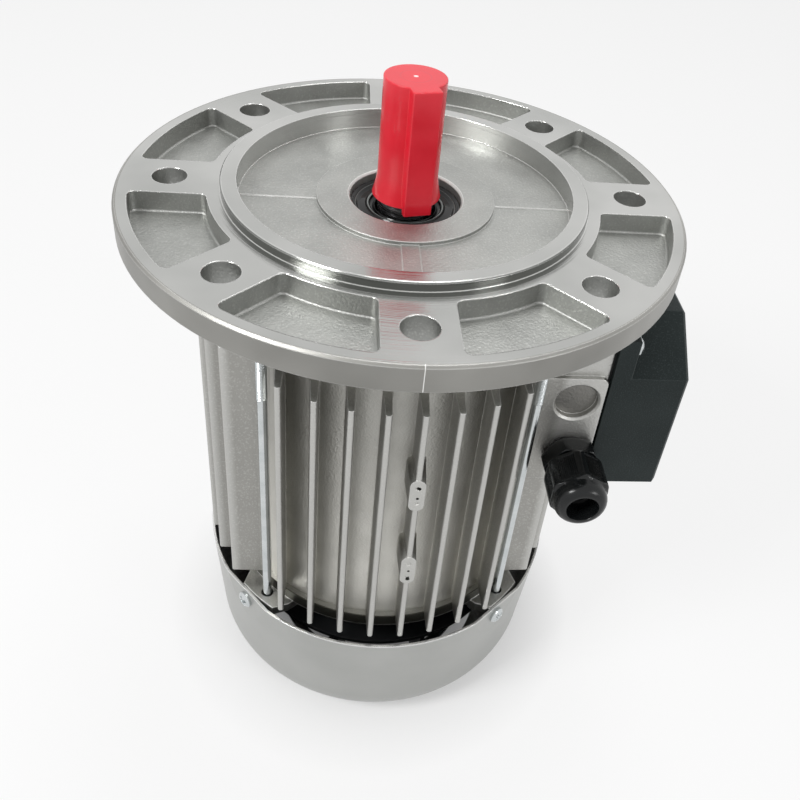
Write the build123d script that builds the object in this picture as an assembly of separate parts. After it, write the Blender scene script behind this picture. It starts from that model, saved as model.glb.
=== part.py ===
from build123d import *
import os
from math import asin, atan2, cos, degrees, pi, radians, sin, sqrt

# Flange-mounted burner motor, three-phase induction type, frame size 80 with a B5 flange.
# Origin: centre of the flange's mounting face. +Z: out along the shaft. +X: towards the terminal box.
# All sizes are in millimetres and all angles in degrees.

os.makedirs("parts", exist_ok=True)

# Clearances between pieces
press_gap = 0.04
running_gap = 0.08
ball_gap = 0.15
thread_gap = 0.05
free_gap = 0.3

# Flange and its spigot
flange_radius = 100.0
flange_thickness = 10.0
bolt_circle_radius = 82.5
bolt_hole_radius = 6.0
bolt_count = 8
spigot_radius = 65.0
spigot_height = 3.5
spigot_wall = 5.6
spigot_chamfer = 0.5
rim_chamfer = 0.8
rim_width = 4.7
pocket_inner_offset = 4.7
pocket_depth = 7.6
pocket_corner = 2.6
pocket_floor_fillet = 0.8
spoke_half_width = 11.7
recess_depth = 4.5
seal_boss_radius = 32.0
seal_boss_height = 1.5
floor_strip_width = 6.2
floor_strip_height = 0.35

# Shaft extension, its key and the red transport sleeve
shaft_radius = 9.5
shaft_length = 40.0
shaft_chamfer = 1.0
key_width = 6.0
key_height = 6.0
key_length = 30.0
key_depth = 3.5
key_start = 5.0
key_angle = -77.0
sleeve_wall = 1.2
sleeve_cap = 1.2
sleeve_flare = 1.5
sleeve_flare_top = 7.0
sleeve_bottom = -2.0
sleeve_key_bottom = -3.8
sleeve_key_wall = 1.7

# Bearings: bore radius, outer radius, width, ball radius
drive_bearing = (10.0, 23.5, 14.0, 3.97)
rear_bearing = (8.5, 20.0, 12.0, 3.375)
ball_count = 8
drive_bearing_top = -15.0
shaft_shoulder = 2.0
wave_washer_height = 1.5

# Oil seal in the drive end
seal_radius = 20.0
seal_width = 7.0
seal_face = -6.0
seal_step_radius = 17.5
seal_mouth_chamfer = 0.7

# Stator frame and its fins
frame_top = -32.0
frame_bottom = -161.0
frame_bore = 60.0
frame_wall = 4.0
fin_top = -41.0
fin_circle = 76.0
fin_pitch = 12.0
fins_per_side = 8
fin_root_width = 3.4
fin_tip_width = 2.2
fin_tip_round = 0.95
corner_fin_extra = 1.6
plate_boss_width = 5.5
plate_boss_rise = 0.3
plate_boss_draft = 1.6
plate_boss_height = 15.0
plate_boss_levels = (-78.0, -118.8)
plate_boss_hole = 0.9

# Terminal box: cast seat on the frame, plastic lid
seat_half_width = 43.0
seat_top = -34.0
seat_bottom = -101.0
seat_face = 75.5
seat_wall = 4.0
seat_pad = 2.0
seat_pad_top = -49.5
seat_pad_left = 44.0
seat_pad_corner = 3.0
seat_side_gap = 1.0
seat_root = 14.0
seat_floor = 2.0
cavity_root = 10.0
gasket_thickness = 1.0
lid_side_overhang = 2.0
lid_top_overhang = 2.0
lid_bottom_overhang = 1.5
gasket_inset = 2.5
lid_plate = 7.0
lid_height = 29.0
lid_wall = 2.5
lid_chamfer_y = 20.0
lid_chamfer_z = 17.0
lid_bevel = 1.2
lid_screw_inset = 6.0
lid_screw_depth = 4.4
entry_x = 67.2
entry_radius = 8.0
gland_level = -87.6
knockout_x = 65.5
knockout_level = -61.0
knockout_radius = 8.0
knockout_depth = 3.0
knockout_chamfer = 0.8
lead_hole_radius = 6.0
lead_hole_level = -50.0

# Terminal board, its studs, nuts and links
board_width = 44.0
board_height = 38.0
board_thickness = 6.0
board_level = -71.0
board_foot = 2.0
stud_radius = 2.0
stud_length = 12.0
stud_pitch_y = 14.0
stud_pitch_z = 16.0
nut_flats = 7.0
nut_height = 2.8
link_thickness = 0.8
link_width = 7.5

# Cable gland, size M16
gland_flats = 20.0
gland_hex_angle = 23.4
gland_washer = 1.2
gland_hex_length = 7.0
gland_thread_inside = 7.5
gland_hex_chamfer = 1.2
gland_nut_flats = 20.6
gland_nut_radius = 11.5
gland_nut_angle = 59.0
gland_nut_length = 19.2
gland_dome_length = 6.5
gland_nut_gap = 0.6
gland_neck_radius = 8.6
gland_neck_length = 10.0
gland_bore = 6.6
cable_radius = 4.5
gland_mouth_radius = 5.9
gland_dome_radius = 10.0
gland_dome_step = 0.9

# Tie rods, size M4, at the four corners; one pair of holes sits slightly off its diagonal
rod_circle_radius = 69.8
rod_channel_gap = 0.5
rod_angles = (45.0, 135.0, 226.2, 315.0)
rod_radius = 1.75
rod_thread_radius = 2.0
rod_top = -14.0
rod_thread_end = -57.5
rod_tail = 5.0
rod_nut_flats = 7.0
rod_nut_height = 3.2
rod_washer = 0.8
lug_radius = 6.0

# Drive-end shield behind the flange
skirt_wall = 2.5
register_depth = 4.0
register_wall = 4.0
hub_radius = 33.0
hub_bottom = -31.0

# Rear end shield
shield_rim = 2.5
shield_rim_height = 6.0
ear_top = -166.4
ear_plate = 4.6
ear_height = 10.0
ear_half_width = 13.6
ear_outer_half = 8.6
ear_margin = 4.4
ear_boss_left = 9.5
ear_boss_right = 5.5
rear_hub_radius = 27.0
rear_hub_top = -166.0
rear_hub_floor = 3.0
rear_web = 4.0

# Fan cover
cover_top = -167.4
cover_bottom = -227.0
cover_clearance = 1.3
cover_taper = 3.0
cover_round = 18.0
cover_sheet = 1.0
cover_flat_depth = 1.2
flat_half_width = 40.0
cover_screw_angle = 4.5
cover_screw_level = -173.0
cover_screw_radius = 2.0
cover_screw_head = 3.6
cover_screw_depth = 8.0
grille_rings = ((16.0, 22.0), (26.0, 32.0), (36.0, 42.0), (46.0, 52.0))
grille_spoke = 4.5
grille_spokes = 6

# Cooling fan
fan_top = -187.0
fan_disc = 2.0
fan_radius = 61.0
fan_hub_radius = 13.0
fan_blade_height = 18.0
fan_blade_width = 2.0
fan_blade_inner = 24.0
fan_blades = 10
fan_seat_radius = 7.5
fan_hub_length = 11.0
shaft_tail = 3.0
clip_thickness = 1.0
clip_radius = 10.5

# Active parts
core_top = -64.0
core_bottom = -139.0
stator_bore = 35.9
rotor_radius = 35.4
rotor_shaft_radius = 13.0
stator_slots = 24
stator_slot_depth = 14.0
rotor_bars = 18
rotor_bar_depth = 7.0
end_ring_height = 9.0
end_ring_inner = 22.0
end_ring_outer = 33.5
end_blade_height = 4.0
end_blades = 6
winding_overhang = 17.0
winding_inner = 38.5
winding_outer = 54.0
winding_round = 5.0

# Places worked out from the sizes above
frame_radius = frame_bore + frame_wall
skirt_radius = frame_radius + skirt_wall
drive_bearing_bottom = drive_bearing_top - drive_bearing[2]
ear_bottom = ear_top - ear_height
rear_bearing_bottom = rear_hub_top - rear_bearing[2] - wave_washer_height - free_gap
rear_bearing_top = rear_bearing_bottom + rear_bearing[2]
washer_bottom = rear_bearing_bottom - wave_washer_height
rear_hub_bottom = washer_bottom - rear_hub_floor
fan_bottom = fan_top - fan_disc - fan_blade_height
shaft_end = fan_top - fan_disc - fan_hub_length - shaft_tail
floor_radius = frame_radius + seat_floor
board_face = floor_radius + board_foot + board_thickness
lid_half_width = seat_half_width + lid_side_overhang
lid_top = seat_top + lid_top_overhang
lid_bottom = seat_bottom - lid_bottom_overhang
lid_inside = seat_face + gasket_thickness
lid_face = lid_inside + lid_plate
lid_outside = lid_inside + lid_height
pad_face = seat_half_width + seat_pad
fin_row_half = (fins_per_side - 1) / 2 * fin_pitch + fin_tip_width / 2 + corner_fin_extra
seat_clear_half = max(pad_face, fin_row_half) + seat_side_gap
ear_radius = rod_circle_radius + ear_margin
cover_top_radius = ear_radius + cover_clearance + cover_sheet
cover_low_radius = cover_top_radius - cover_taper
cover_flat = cover_top_radius - cover_flat_depth
corner_angles = (45.0, 135.0, 225.0, 315.0)
screw_angles = tuple(angle - cover_screw_angle for angle in corner_angles)
sleeve_radius = shaft_radius + running_gap + sleeve_wall


def turned(points):
    """A solid of revolution about Z from the (radius, height) corners of its half section."""
    section = make_face(Plane.XZ * Polyline(*points, close=True))
    return revolve(section, axis=Axis.Z)


def tube(outer, inner, low, high):
    """A plain ring about Z."""
    return turned([(inner, low), (outer, low), (outer, high), (inner, high)])


def rod_along_z(radius, low, high, x=0.0, y=0.0):
    return Pos(x, y, (low + high) / 2) * Cylinder(radius, high - low)


def rod_along_x(radius, start, end, y, z):
    return Pos((start + end) / 2, y, z) * Rot(0, 90, 0) * Cylinder(radius, end - start)


def rod_along_y(radius, start, end, x, z):
    return Pos(x, (start + end) / 2, z) * Rot(90, 0, 0) * Cylinder(radius, end - start)


def block(x0, x1, y0, y1, z0, z1):
    """A box between two corners."""
    centre = Pos((x0 + x1) / 2, (y0 + y1) / 2, (z0 + z1) / 2)
    return centre * Box(x1 - x0, y1 - y0, z1 - z0)


def corner_points(radius, angles):
    return [(radius * cos(radians(a)), radius * sin(radians(a))) for a in angles]


def hexagon(flats, low, high):
    """A hexagonal prism about Z with a flat side facing +X."""
    sketch = RegularPolygon(flats / 2, 6, major_radius=False, rotation=30)
    return extrude(Pos(0, 0, low) * sketch, high - low)


# Drive-end shield with the mounting flange


def flange_pockets():
    """Eight cast pockets between the bolt holes, each with straight sides along its spokes."""
    inner = spigot_radius + pocket_inner_offset
    outer = flange_radius - rim_width
    ring = Circle(outer) - Circle(inner)
    for i in range(bolt_count):
        spoke = Pos(bolt_circle_radius, 0) * Rectangle(2 * (outer - inner), 2 * spoke_half_width)
        ring -= Rot(0, 0, i * 360 / bolt_count) * spoke
    pocket = ring.faces().sort_by_distance((bolt_circle_radius * cos(pi / bolt_count),
                                            bolt_circle_radius * sin(pi / bolt_count), 0))[0]
    rounded = pocket.fillet_2d(pocket_corner, pocket.vertices())
    solid = extrude(Pos(0, 0, -pocket_depth) * rounded, pocket_depth + 1)
    floor_edges = solid.faces().sort_by(Axis.Z)[0].edges()
    solid = fillet(floor_edges, pocket_floor_fillet)
    return [Rot(0, 0, i * 360 / bolt_count) * solid for i in range(bolt_count)]


def flange_end_shield():
    """One casting: flange, spigot, recessed face, bearing hub and the skirt that meets the frame."""
    recess = -recess_depth
    boss = recess + seal_boss_height
    inner_spigot = spigot_radius - spigot_wall
    back = -flange_thickness
    register = frame_bore - press_gap
    seat = drive_bearing[1] + press_gap
    seal_seat = seal_radius + press_gap
    lip_bottom = frame_top - register_depth
    body = turned([
        (seal_seat + seal_mouth_chamfer, boss), (seal_boss_radius, boss), (seal_boss_radius, recess),
        (inner_spigot, recess), (inner_spigot, spigot_height),
        (spigot_radius - spigot_chamfer, spigot_height), (spigot_radius, spigot_height - spigot_chamfer),
        (spigot_radius, 0), (flange_radius - rim_chamfer, 0), (flange_radius, -rim_chamfer),
        (flange_radius, back + rim_chamfer), (flange_radius - rim_chamfer, back),
        (skirt_radius, back), (skirt_radius, frame_top), (register, frame_top), (register, lip_bottom),
        (register - register_wall, lip_bottom), (register - register_wall, back), (hub_radius, back),
        (hub_radius, hub_bottom), (seat, hub_bottom), (seat, drive_bearing_top),
        (seal_step_radius, drive_bearing_top), (seal_step_radius, seal_face - seal_width),
        (seal_seat, seal_face - seal_width), (seal_seat, boss - seal_mouth_chamfer)])
    for i in range(4):
        strip = block(seal_boss_radius - 1, inner_spigot + 1, -floor_strip_width / 2, floor_strip_width / 2,
                      recess - 1, recess + floor_strip_height)
        body += Rot(0, 0, 90 * i) * strip
    for x, y in corner_points(rod_circle_radius, rod_angles):
        body += rod_along_z(lug_radius, frame_top, back, x, y)
    for pocket in flange_pockets():
        body -= pocket
    for x, y in corner_points(bolt_circle_radius, [i * 360 / bolt_count for i in range(bolt_count)]):
        body -= rod_along_z(bolt_hole_radius, back - 1, 1, x, y)
    for x, y in corner_points(rod_circle_radius, rod_angles):
        body -= rod_along_z(rod_thread_radius + thread_gap, frame_top - 1, rod_top + 1, x, y)
    return body


# Stator frame


def fin_sketch(offset):
    """One fin in plan: it stands on the frame's wall, thins outwards and ends on the fin circle."""
    root = sqrt((frame_radius - 1.5) ** 2 - offset ** 2)
    tip = sqrt(fin_circle ** 2 - offset ** 2)
    half_root = fin_root_width / 2
    half_tip = fin_tip_width / 2
    outline = make_face(Polyline((root, offset - half_root), (tip, offset - half_tip),
                                 (tip, offset + half_tip), (root, offset + half_root), close=True))
    ends = outline.vertices().sort_by(Axis.X)[-2:]
    return fillet(ends, fin_tip_round)


def fin_offsets():
    middle = (fins_per_side - 1) / 2
    return [(i - middle) * fin_pitch for i in range(fins_per_side)]


def corner_fin_wedges():
    """The outermost fin of each group thickens upwards on its outer side."""
    offset = (fins_per_side - 1) / 2 * fin_pitch
    side = offset + fin_tip_width / 2 - 0.5
    wedge = make_face(Plane.XZ * Polyline((side, fin_top), (side + 0.5 + corner_fin_extra, fin_top),
                                          (side + 0.5, frame_bottom), (side, frame_bottom), close=True))
    tip = sqrt(fin_circle ** 2 - (offset + 3) ** 2)
    root = sqrt(frame_radius ** 2 - offset ** 2) - 2.0
    solid = Pos(0, -root, 0) * extrude(wedge, tip - root)
    both = solid + mirror(solid, Plane.YZ)
    wedges = Part()
    for turn in range(4):
        wedges += Rot(0, 0, 90 * turn) * both
    return wedges


def plate_bosses():
    """Two rounded bosses, each with two blind holes, cast on one front fin to carry a plate."""
    offset = fin_pitch / 2
    face = sqrt(fin_circle ** 2 - offset ** 2) + plate_boss_rise
    root = sqrt(frame_radius ** 2 - offset ** 2) - 1.5
    widening = plate_boss_draft / 2
    outer = Plane.XZ.offset(face) * SlotOverall(plate_boss_height, plate_boss_width, rotation=90)
    inner = Plane.XZ.offset(root) * SlotOverall(plate_boss_height + 2 * widening,
                                                plate_boss_width + 2 * widening, rotation=90)
    pillar = loft([inner, outer])
    solid = Part()
    for level in plate_boss_levels:
        solid += Pos(offset, 0, level) * pillar
        for step in (-1, 1):
            solid -= rod_along_y(plate_boss_hole, -face - 1, -face + 2, offset, level + step * plate_boss_height / 4)
    return solid


def terminal_seat():
    """Solid block of the cast seat, with the raised pad that carries the two cable entries."""
    seat = block(frame_radius - seat_root, seat_face, -seat_half_width, seat_half_width, seat_bottom, seat_top)
    seat = fillet(seat.edges().filter_by(Axis.X), 2.0)
    pad = block(seat_pad_left, seat_face, -pad_face, -seat_half_width + 1, seat_bottom, seat_pad_top)
    pad = fillet(pad.edges().filter_by(Axis.Y).group_by(Axis.Z)[-1], seat_pad_corner)
    recess = rod_along_y(knockout_radius, -pad_face - 1, -pad_face + knockout_depth, knockout_x, knockout_level)
    mouth = Cone(knockout_radius, knockout_radius + 2 * knockout_chamfer, 2 * knockout_chamfer)
    return seat + pad - recess - Pos(knockout_x, -pad_face, knockout_level) * Rot(90, 0, 0) * mouth


def terminal_cavity():
    """The hollow of the seat: its floor follows the round wall of the frame."""
    hollow = block(frame_radius - cavity_root, seat_face + 1,
                   seat_wall - seat_half_width, seat_half_width - seat_wall,
                   seat_bottom + seat_wall, seat_top - seat_wall)
    return hollow - rod_along_z(floor_radius, seat_bottom, seat_top)


def stator_frame():
    """Finned tube with the terminal box seat cast on its side."""
    fins = Sketch()
    for turn in range(4):
        for offset in fin_offsets():
            fins += Rot(0, 0, 90 * turn) * fin_sketch(offset)
    seat_side = block(frame_radius - seat_root, fin_circle + 1, -seat_clear_half, seat_clear_half,
                      seat_bottom, seat_top)
    corner_space = block(frame_radius - seat_root, seat_face, -seat_half_width, seat_half_width,
                         seat_bottom, seat_top)
    body = extrude(Pos(0, 0, frame_bottom) * (fins - Circle(frame_radius - 1)), fin_top - frame_bottom)
    body += corner_fin_wedges()
    body -= seat_side
    body += rod_along_z(frame_radius, frame_bottom, frame_top)
    body += plate_bosses()
    body += terminal_seat()
    body -= terminal_cavity()
    feet_x = board_face - board_thickness
    for side in (-1, 1):
        body += rod_along_x(3.5, frame_radius - 2, feet_x, side * (board_width / 2 - 4), board_level)
    body -= rod_along_z(frame_bore, frame_bottom - 1, frame_top + 1)
    body -= rod_along_x(lead_hole_radius, frame_bore - 6, floor_radius + 2, 0, lead_hole_level)
    shelf, y, z = earth_place()
    body -= rod_along_x(2.0 + thread_gap, shelf - 2 - press_gap, seat_face, y, z)
    for y, z in lid_screw_places():
        body += rod_along_x(4.5, frame_radius - cavity_root, seat_face, y, z) & corner_space
        body -= rod_along_x(1.6, seat_face - lid_screw_depth - 1, seat_face + 1, y, z)
    entry_end = -seat_half_width + seat_wall + 6
    body -= rod_along_y(entry_radius, -pad_face - 1, entry_end, entry_x, gland_level)
    for x, y in corner_points(rod_circle_radius, rod_angles):
        body -= rod_along_z(rod_thread_radius + rod_channel_gap, frame_bottom - 1, frame_top + 1, x, y)
    return body


# Rear end shield


def ear_sketch():
    """One ear in plan, on the +X side: it tapers outwards and ends just inside the fan cover."""
    outer = ear_radius
    return make_face(Polyline((frame_radius - 8, -ear_half_width), (frame_radius + 3.8, 1.6 - ear_half_width),
                              (outer, -ear_outer_half), (outer, ear_outer_half),
                              (frame_radius + 3.8, ear_half_width - 1.6), (frame_radius - 8, ear_half_width),
                              close=True))


def rear_end_shield():
    """Cast shield with four ears for the tie rods and the rear bearing's hub."""
    register = frame_bore - press_gap
    seat = rear_bearing[1] + press_gap
    rim = frame_radius + shield_rim
    rim_bottom = frame_bottom - shield_rim_height
    lip = frame_bottom + register_depth
    web_top = rear_hub_top - 2.0
    web_bottom = rim_bottom - rear_web
    body = turned([
        (register - register_wall, lip), (register, lip), (register, frame_bottom), (rim, frame_bottom),
        (rim, rim_bottom), (rim - 5, web_bottom), (rear_hub_radius + 4, web_bottom - 2),
        (rear_hub_radius, rear_hub_bottom), (rear_bearing[0] + 0.8, rear_hub_bottom),
        (rear_bearing[0] + 0.8, washer_bottom), (seat, washer_bottom), (seat, rear_hub_top),
        (rear_hub_radius, rear_hub_top), (rear_hub_radius, web_top), (register - register_wall, web_top)])
    for angle in corner_angles:
        ear = extrude(Pos(0, 0, ear_top - ear_plate) * ear_sketch(), ear_plate)
        ear += block(rim - 5, ear_radius, -ear_boss_left, ear_boss_right, ear_bottom, ear_top - 1)
        ear &= rod_along_z(ear_radius, ear_bottom, ear_top)
        ear -= rod_along_z(rim - 3, ear_bottom - 1, ear_top + 1)
        body += Rot(0, 0, angle) * ear
    for x, y in corner_points(rod_circle_radius, rod_angles):
        body -= rod_along_z(rod_thread_radius + rod_channel_gap, rear_hub_bottom - 1, lip + 1, x, y)
    flat = cover_flat - cover_sheet - press_gap
    for angle in screw_angles:
        outside = block(flat, flat + 20, -flat_half_width, flat_half_width, ear_bottom - 1, ear_top + 1)
        hole = rod_along_x(cover_screw_radius + thread_gap, flat - cover_screw_depth - 1, flat + 1,
                           0, cover_screw_level)
        body -= Rot(0, 0, angle) * outside
        body -= Rot(0, 0, angle) * hole
    return body


# Fan cover


def cover_solid(inset):
    """The cover's outer form, drawn in by inset, with a flat at each of the four screws."""
    top = cover_top + (1 if inset else 0)
    low_radius = cover_low_radius - inset
    bottom = cover_bottom + inset
    start = low_radius - cover_round + inset
    level = bottom + cover_round - inset
    reach = cover_round - inset
    slope = (cover_top_radius - cover_low_radius) / (cover_top - level)
    top_radius = low_radius + slope * (top - level)
    middle = (start + reach * sin(pi / 4), level - reach * sin(pi / 4))
    outline = Polyline((low_radius, level), (top_radius, top), (0, top), (0, bottom), (start, bottom))
    corner = ThreePointArc((start, bottom), middle, (low_radius, level))
    solid = revolve(make_face(Plane.XZ * (outline + corner)), axis=Axis.Z)
    for angle in screw_angles:
        flat = cover_flat - inset
        outside = block(flat, flat + 20, -flat_half_width, flat_half_width, cover_bottom - 1, cover_top + 2)
        solid -= Rot(0, 0, angle) * outside
    return solid


def fan_cover():
    """Pressed sheet cover with an air intake grille in its end and four screw holes."""
    body = cover_solid(0) - cover_solid(cover_sheet)
    grille = Sketch()
    for inner, outer in grille_rings:
        grille += Circle(outer) - Circle(inner)
    for i in range(grille_spokes // 2):
        grille -= Rot(0, 0, i * 360 / grille_spokes) * Rectangle(2 * cover_low_radius, grille_spoke)
    body -= extrude(Pos(0, 0, cover_bottom - 1) * grille, cover_sheet + 2)
    for angle in screw_angles:
        hole = rod_along_x(cover_screw_radius + free_gap, cover_flat - 3, cover_flat + 3, 0, cover_screw_level)
        body -= Rot(0, 0, angle) * hole
    return body


def fan_cover_screws():
    screws = Part()
    for angle in screw_angles:
        shank = rod_along_x(cover_screw_radius, cover_flat - cover_sheet - cover_screw_depth, cover_flat + 0.5,
                            0, cover_screw_level)
        head = rod_along_x(cover_screw_head, cover_flat, cover_flat + 2.4, 0, cover_screw_level)
        head = fillet(head.edges().group_by(Axis.X)[-1], 1.4)
        screws += Rot(0, 0, angle) * (shank + head)
    return screws


# Cooling fan and its clip


def cooling_fan():
    """Moulded radial fan that works in both directions."""
    disc_bottom = fan_top - fan_disc
    bore = fan_seat_radius + press_gap
    body = turned([(bore, fan_top + 1.5), (fan_hub_radius, fan_top + 1.5), (fan_hub_radius, fan_top),
                   (fan_radius, fan_top), (fan_radius, disc_bottom), (fan_hub_radius, disc_bottom),
                   (fan_hub_radius, disc_bottom - fan_hub_length), (bore, disc_bottom - fan_hub_length)])
    for i in range(fan_blades):
        blade = block(fan_blade_inner, fan_radius, -fan_blade_width / 2, fan_blade_width / 2,
                      fan_bottom, disc_bottom)
        blade -= Pos(fan_radius, 0, fan_bottom) * Rot(0, 35, 0) * Box(16, 10, 10)
        rib = block(fan_hub_radius - 1, fan_blade_inner, -fan_blade_width / 2, fan_blade_width / 2,
                    disc_bottom - 8, disc_bottom)
        body += Rot(0, 0, i * 360 / fan_blades) * (blade + rib)
    return body


def fan_clip():
    """Spring clip in a groove at the shaft's rear end, under the fan's hub."""
    top = fan_top - fan_disc - fan_hub_length
    ring = tube(clip_radius, fan_seat_radius - 0.6 + press_gap, top - clip_thickness, top)
    return ring - block(0, clip_radius + 1, -2.5, 2.5, top - 2, top + 1)


# Rotor


def rotor_shaft():
    """Stepped shaft from the drive end to the fan, with a keyway and a centre hole."""
    bearing_low = drive_bearing_bottom
    rear_seat = rear_bearing_top + shaft_shoulder
    clip_top = fan_top - fan_disc - fan_hub_length
    groove = fan_seat_radius - 0.6
    body = turned([
        (0, shaft_length), (shaft_radius - shaft_chamfer, shaft_length), (shaft_radius, shaft_length - shaft_chamfer),
        (shaft_radius, 0), (drive_bearing[0], 0), (drive_bearing[0], bearing_low),
        (drive_bearing[0] + shaft_shoulder, bearing_low), (drive_bearing[0] + shaft_shoulder, core_top),
        (rotor_shaft_radius, core_top), (rotor_shaft_radius, core_bottom),
        (rear_bearing[0] + shaft_shoulder, core_bottom), (rear_bearing[0] + shaft_shoulder, rear_bearing_top),
        (rear_bearing[0], rear_bearing_top), (rear_bearing[0], rear_hub_bottom - 0.5),
        (fan_seat_radius, rear_hub_bottom - 0.5), (fan_seat_radius, clip_top), (groove, clip_top),
        (groove, clip_top - clip_thickness), (fan_seat_radius, clip_top - clip_thickness),
        (fan_seat_radius, shaft_end), (0, shaft_end)])
    keyway = key_outline(key_width + 2 * press_gap, key_length + 2 * press_gap)
    slot = extrude(Plane.YZ.offset(shaft_radius - key_depth) * keyway, key_depth + 2)
    body -= Rot(0, 0, key_angle) * slot
    body -= rod_along_z(2.5, shaft_length - 12, shaft_length + 1)
    return body


def key_outline(width, length):
    """Round-ended key in plan, along the shaft, centred on the key's length."""
    return Pos(0, key_start + key_length / 2) * SlotOverall(length, width, rotation=90)


def shaft_key():
    base = shaft_radius - key_depth
    return Rot(0, 0, key_angle) * extrude(Plane.YZ.offset(base) * key_outline(key_width, key_length), key_height)


def shaft_sleeve():
    """Soft plastic transport sleeve: a closed cap with a flared mouth and a hollow rib over the key."""
    top = shaft_length + sleeve_cap
    bore = shaft_radius + running_gap
    flare_bore = bore + sleeve_flare
    outside = turned([(0, top), (sleeve_radius, top), (sleeve_radius, sleeve_flare_top),
                      (sleeve_radius + sleeve_flare, sleeve_bottom), (0, sleeve_bottom)])
    inside = turned([(0, shaft_length + running_gap), (bore, shaft_length + running_gap), (bore, sleeve_flare_top),
                     (flare_bore, sleeve_bottom), (flare_bore, sleeve_bottom - 1), (0, sleeve_bottom - 1)])
    key_top = shaft_radius - key_depth + key_height + free_gap
    half = key_width / 2 + free_gap
    rib = block(shaft_radius - 2, key_top + sleeve_key_wall, -half - sleeve_wall, half + sleeve_wall,
                sleeve_key_bottom, top)
    rib_bore = block(0, key_top, -half, half, sleeve_key_bottom - 1, shaft_length + running_gap)
    lower_bore = rod_along_z(flare_bore, sleeve_key_bottom - 1, sleeve_bottom)
    body = outside + Rot(0, 0, key_angle) * rib
    body -= inside
    body -= lower_bore
    return body - Rot(0, 0, key_angle) * rib_bore


def slot_section(near, far, near_half, far_half):
    """Four-sided slot in plan on the +X side."""
    return make_face(Polyline((near, -near_half), (far, -far_half), (far, far_half), (near, near_half), close=True))


def bar_section(gap):
    outer = rotor_radius - 1.2 + gap
    return slot_section(outer - rotor_bar_depth - 2 * gap, outer, 1.1 + gap, 2.1 + gap)


def rotor_core():
    """Stacked rotor sheets with closed slots."""
    core = Circle(rotor_radius) - Circle(rotor_shaft_radius + press_gap)
    for i in range(rotor_bars):
        core -= Rot(0, 0, i * 360 / rotor_bars) * bar_section(press_gap)
    return extrude(Pos(0, 0, core_bottom) * core, core_top - core_bottom)


def rotor_cage():
    """Cast aluminium cage: bars through the slots, an end ring and stub blades at each end."""
    bars = Sketch()
    for i in range(rotor_bars):
        bars += Rot(0, 0, i * 360 / rotor_bars) * bar_section(0)
    body = extrude(Pos(0, 0, core_bottom) * bars, core_top - core_bottom)
    body += tube(end_ring_outer, end_ring_inner, core_top, core_top + end_ring_height)
    body += tube(end_ring_outer, end_ring_inner, core_bottom - end_ring_height, core_bottom)
    for i in range(end_blades):
        turn = Rot(0, 0, i * 360 / end_blades)
        high = core_top + end_ring_height
        low = core_bottom - end_ring_height
        body += turn * block(end_ring_inner + 2, end_ring_outer - 1, -1.2, 1.2, high - 1, high + end_blade_height)
        body += turn * block(end_ring_inner + 2, end_ring_outer - 1, -1.2, 1.2, low - end_blade_height, low + 1)
    return body


# Stator's active parts


def stator_slot_plan(gap):
    slots = Sketch()
    near = stator_bore + 1.5 + gap
    section = slot_section(near, near + stator_slot_depth - 2 * gap, 2.6 - gap, 4.4 - gap)
    for i in range(stator_slots):
        slots += Rot(0, 0, (i + 0.5) * 360 / stator_slots) * section
    return slots


def stator_core():
    """Stacked stator sheets with slots that open on the bore."""
    core = Circle(frame_bore - press_gap) - Circle(stator_bore)
    core -= stator_slot_plan(0)
    for i in range(stator_slots):
        mouth = Pos(stator_bore + 0.5, 0) * Rectangle(4, 2.2)
        core -= Rot(0, 0, (i + 0.5) * 360 / stator_slots) * mouth
    return extrude(Pos(0, 0, core_bottom) * core, core_top - core_bottom)


def stator_winding():
    """Coil sides in the slots, joined by a rounded ring of end turns at each end."""
    body = extrude(Pos(0, 0, core_bottom) * stator_slot_plan(0.15), core_top - core_bottom)
    for low, high in ((core_top, core_top + winding_overhang), (core_bottom - winding_overhang, core_bottom)):
        head = tube(winding_outer, winding_inner, low, high)
        end = head.edges().group_by(Axis.Z)[-1 if low == core_top else 0]
        body += fillet(end, winding_round)
    return body


# Ball bearings, seal and preload washer


def bearing_sizes(bearing):
    bore, outer, width, ball = bearing
    pitch = (bore + outer) / 2
    return bore, outer, width, ball, pitch


def bearing_ring(bearing, centre, inner_ring):
    """One race of a deep-groove bearing, with its ball groove."""
    bore, outer, width, ball, pitch = bearing_sizes(bearing)
    land = 0.66 * ball
    if inner_ring:
        ring = tube(pitch - land, bore + press_gap, centre - width / 2, centre + width / 2)
    else:
        ring = tube(outer, pitch + land, centre - width / 2, centre + width / 2)
    groove = Pos(pitch, 0, centre) * Rot(90, 0, 0) * Circle(ball + ball_gap)
    return ring - revolve(groove, axis=Axis.Z)


def ball_places(pitch):
    return corner_points(pitch, [i * 360 / ball_count for i in range(ball_count)])


def bearing_balls(bearing, centre):
    bore, outer, width, ball, pitch = bearing_sizes(bearing)
    balls = Part()
    for x, y in ball_places(pitch):
        balls += Pos(x, y, centre) * Sphere(ball)
    return balls


def bearing_cage(bearing, centre):
    """Ring that holds the balls apart."""
    bore, outer, width, ball, pitch = bearing_sizes(bearing)
    cage = tube(pitch + 0.22 * ball, pitch - 0.22 * ball, centre - 0.4 * width, centre + 0.4 * width)
    pocket = rod_along_x(ball + ball_gap, pitch - ball, pitch + ball, 0, centre)
    for i in range(ball_count):
        cage -= Rot(0, 0, i * 360 / ball_count) * pocket
    return cage


def preload_washer():
    """Wave washer under the rear bearing, drawn at its pressed height."""
    return tube(rear_bearing[1] - 0.4, rear_bearing[1] - 4.0, washer_bottom, rear_bearing_bottom)


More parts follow.
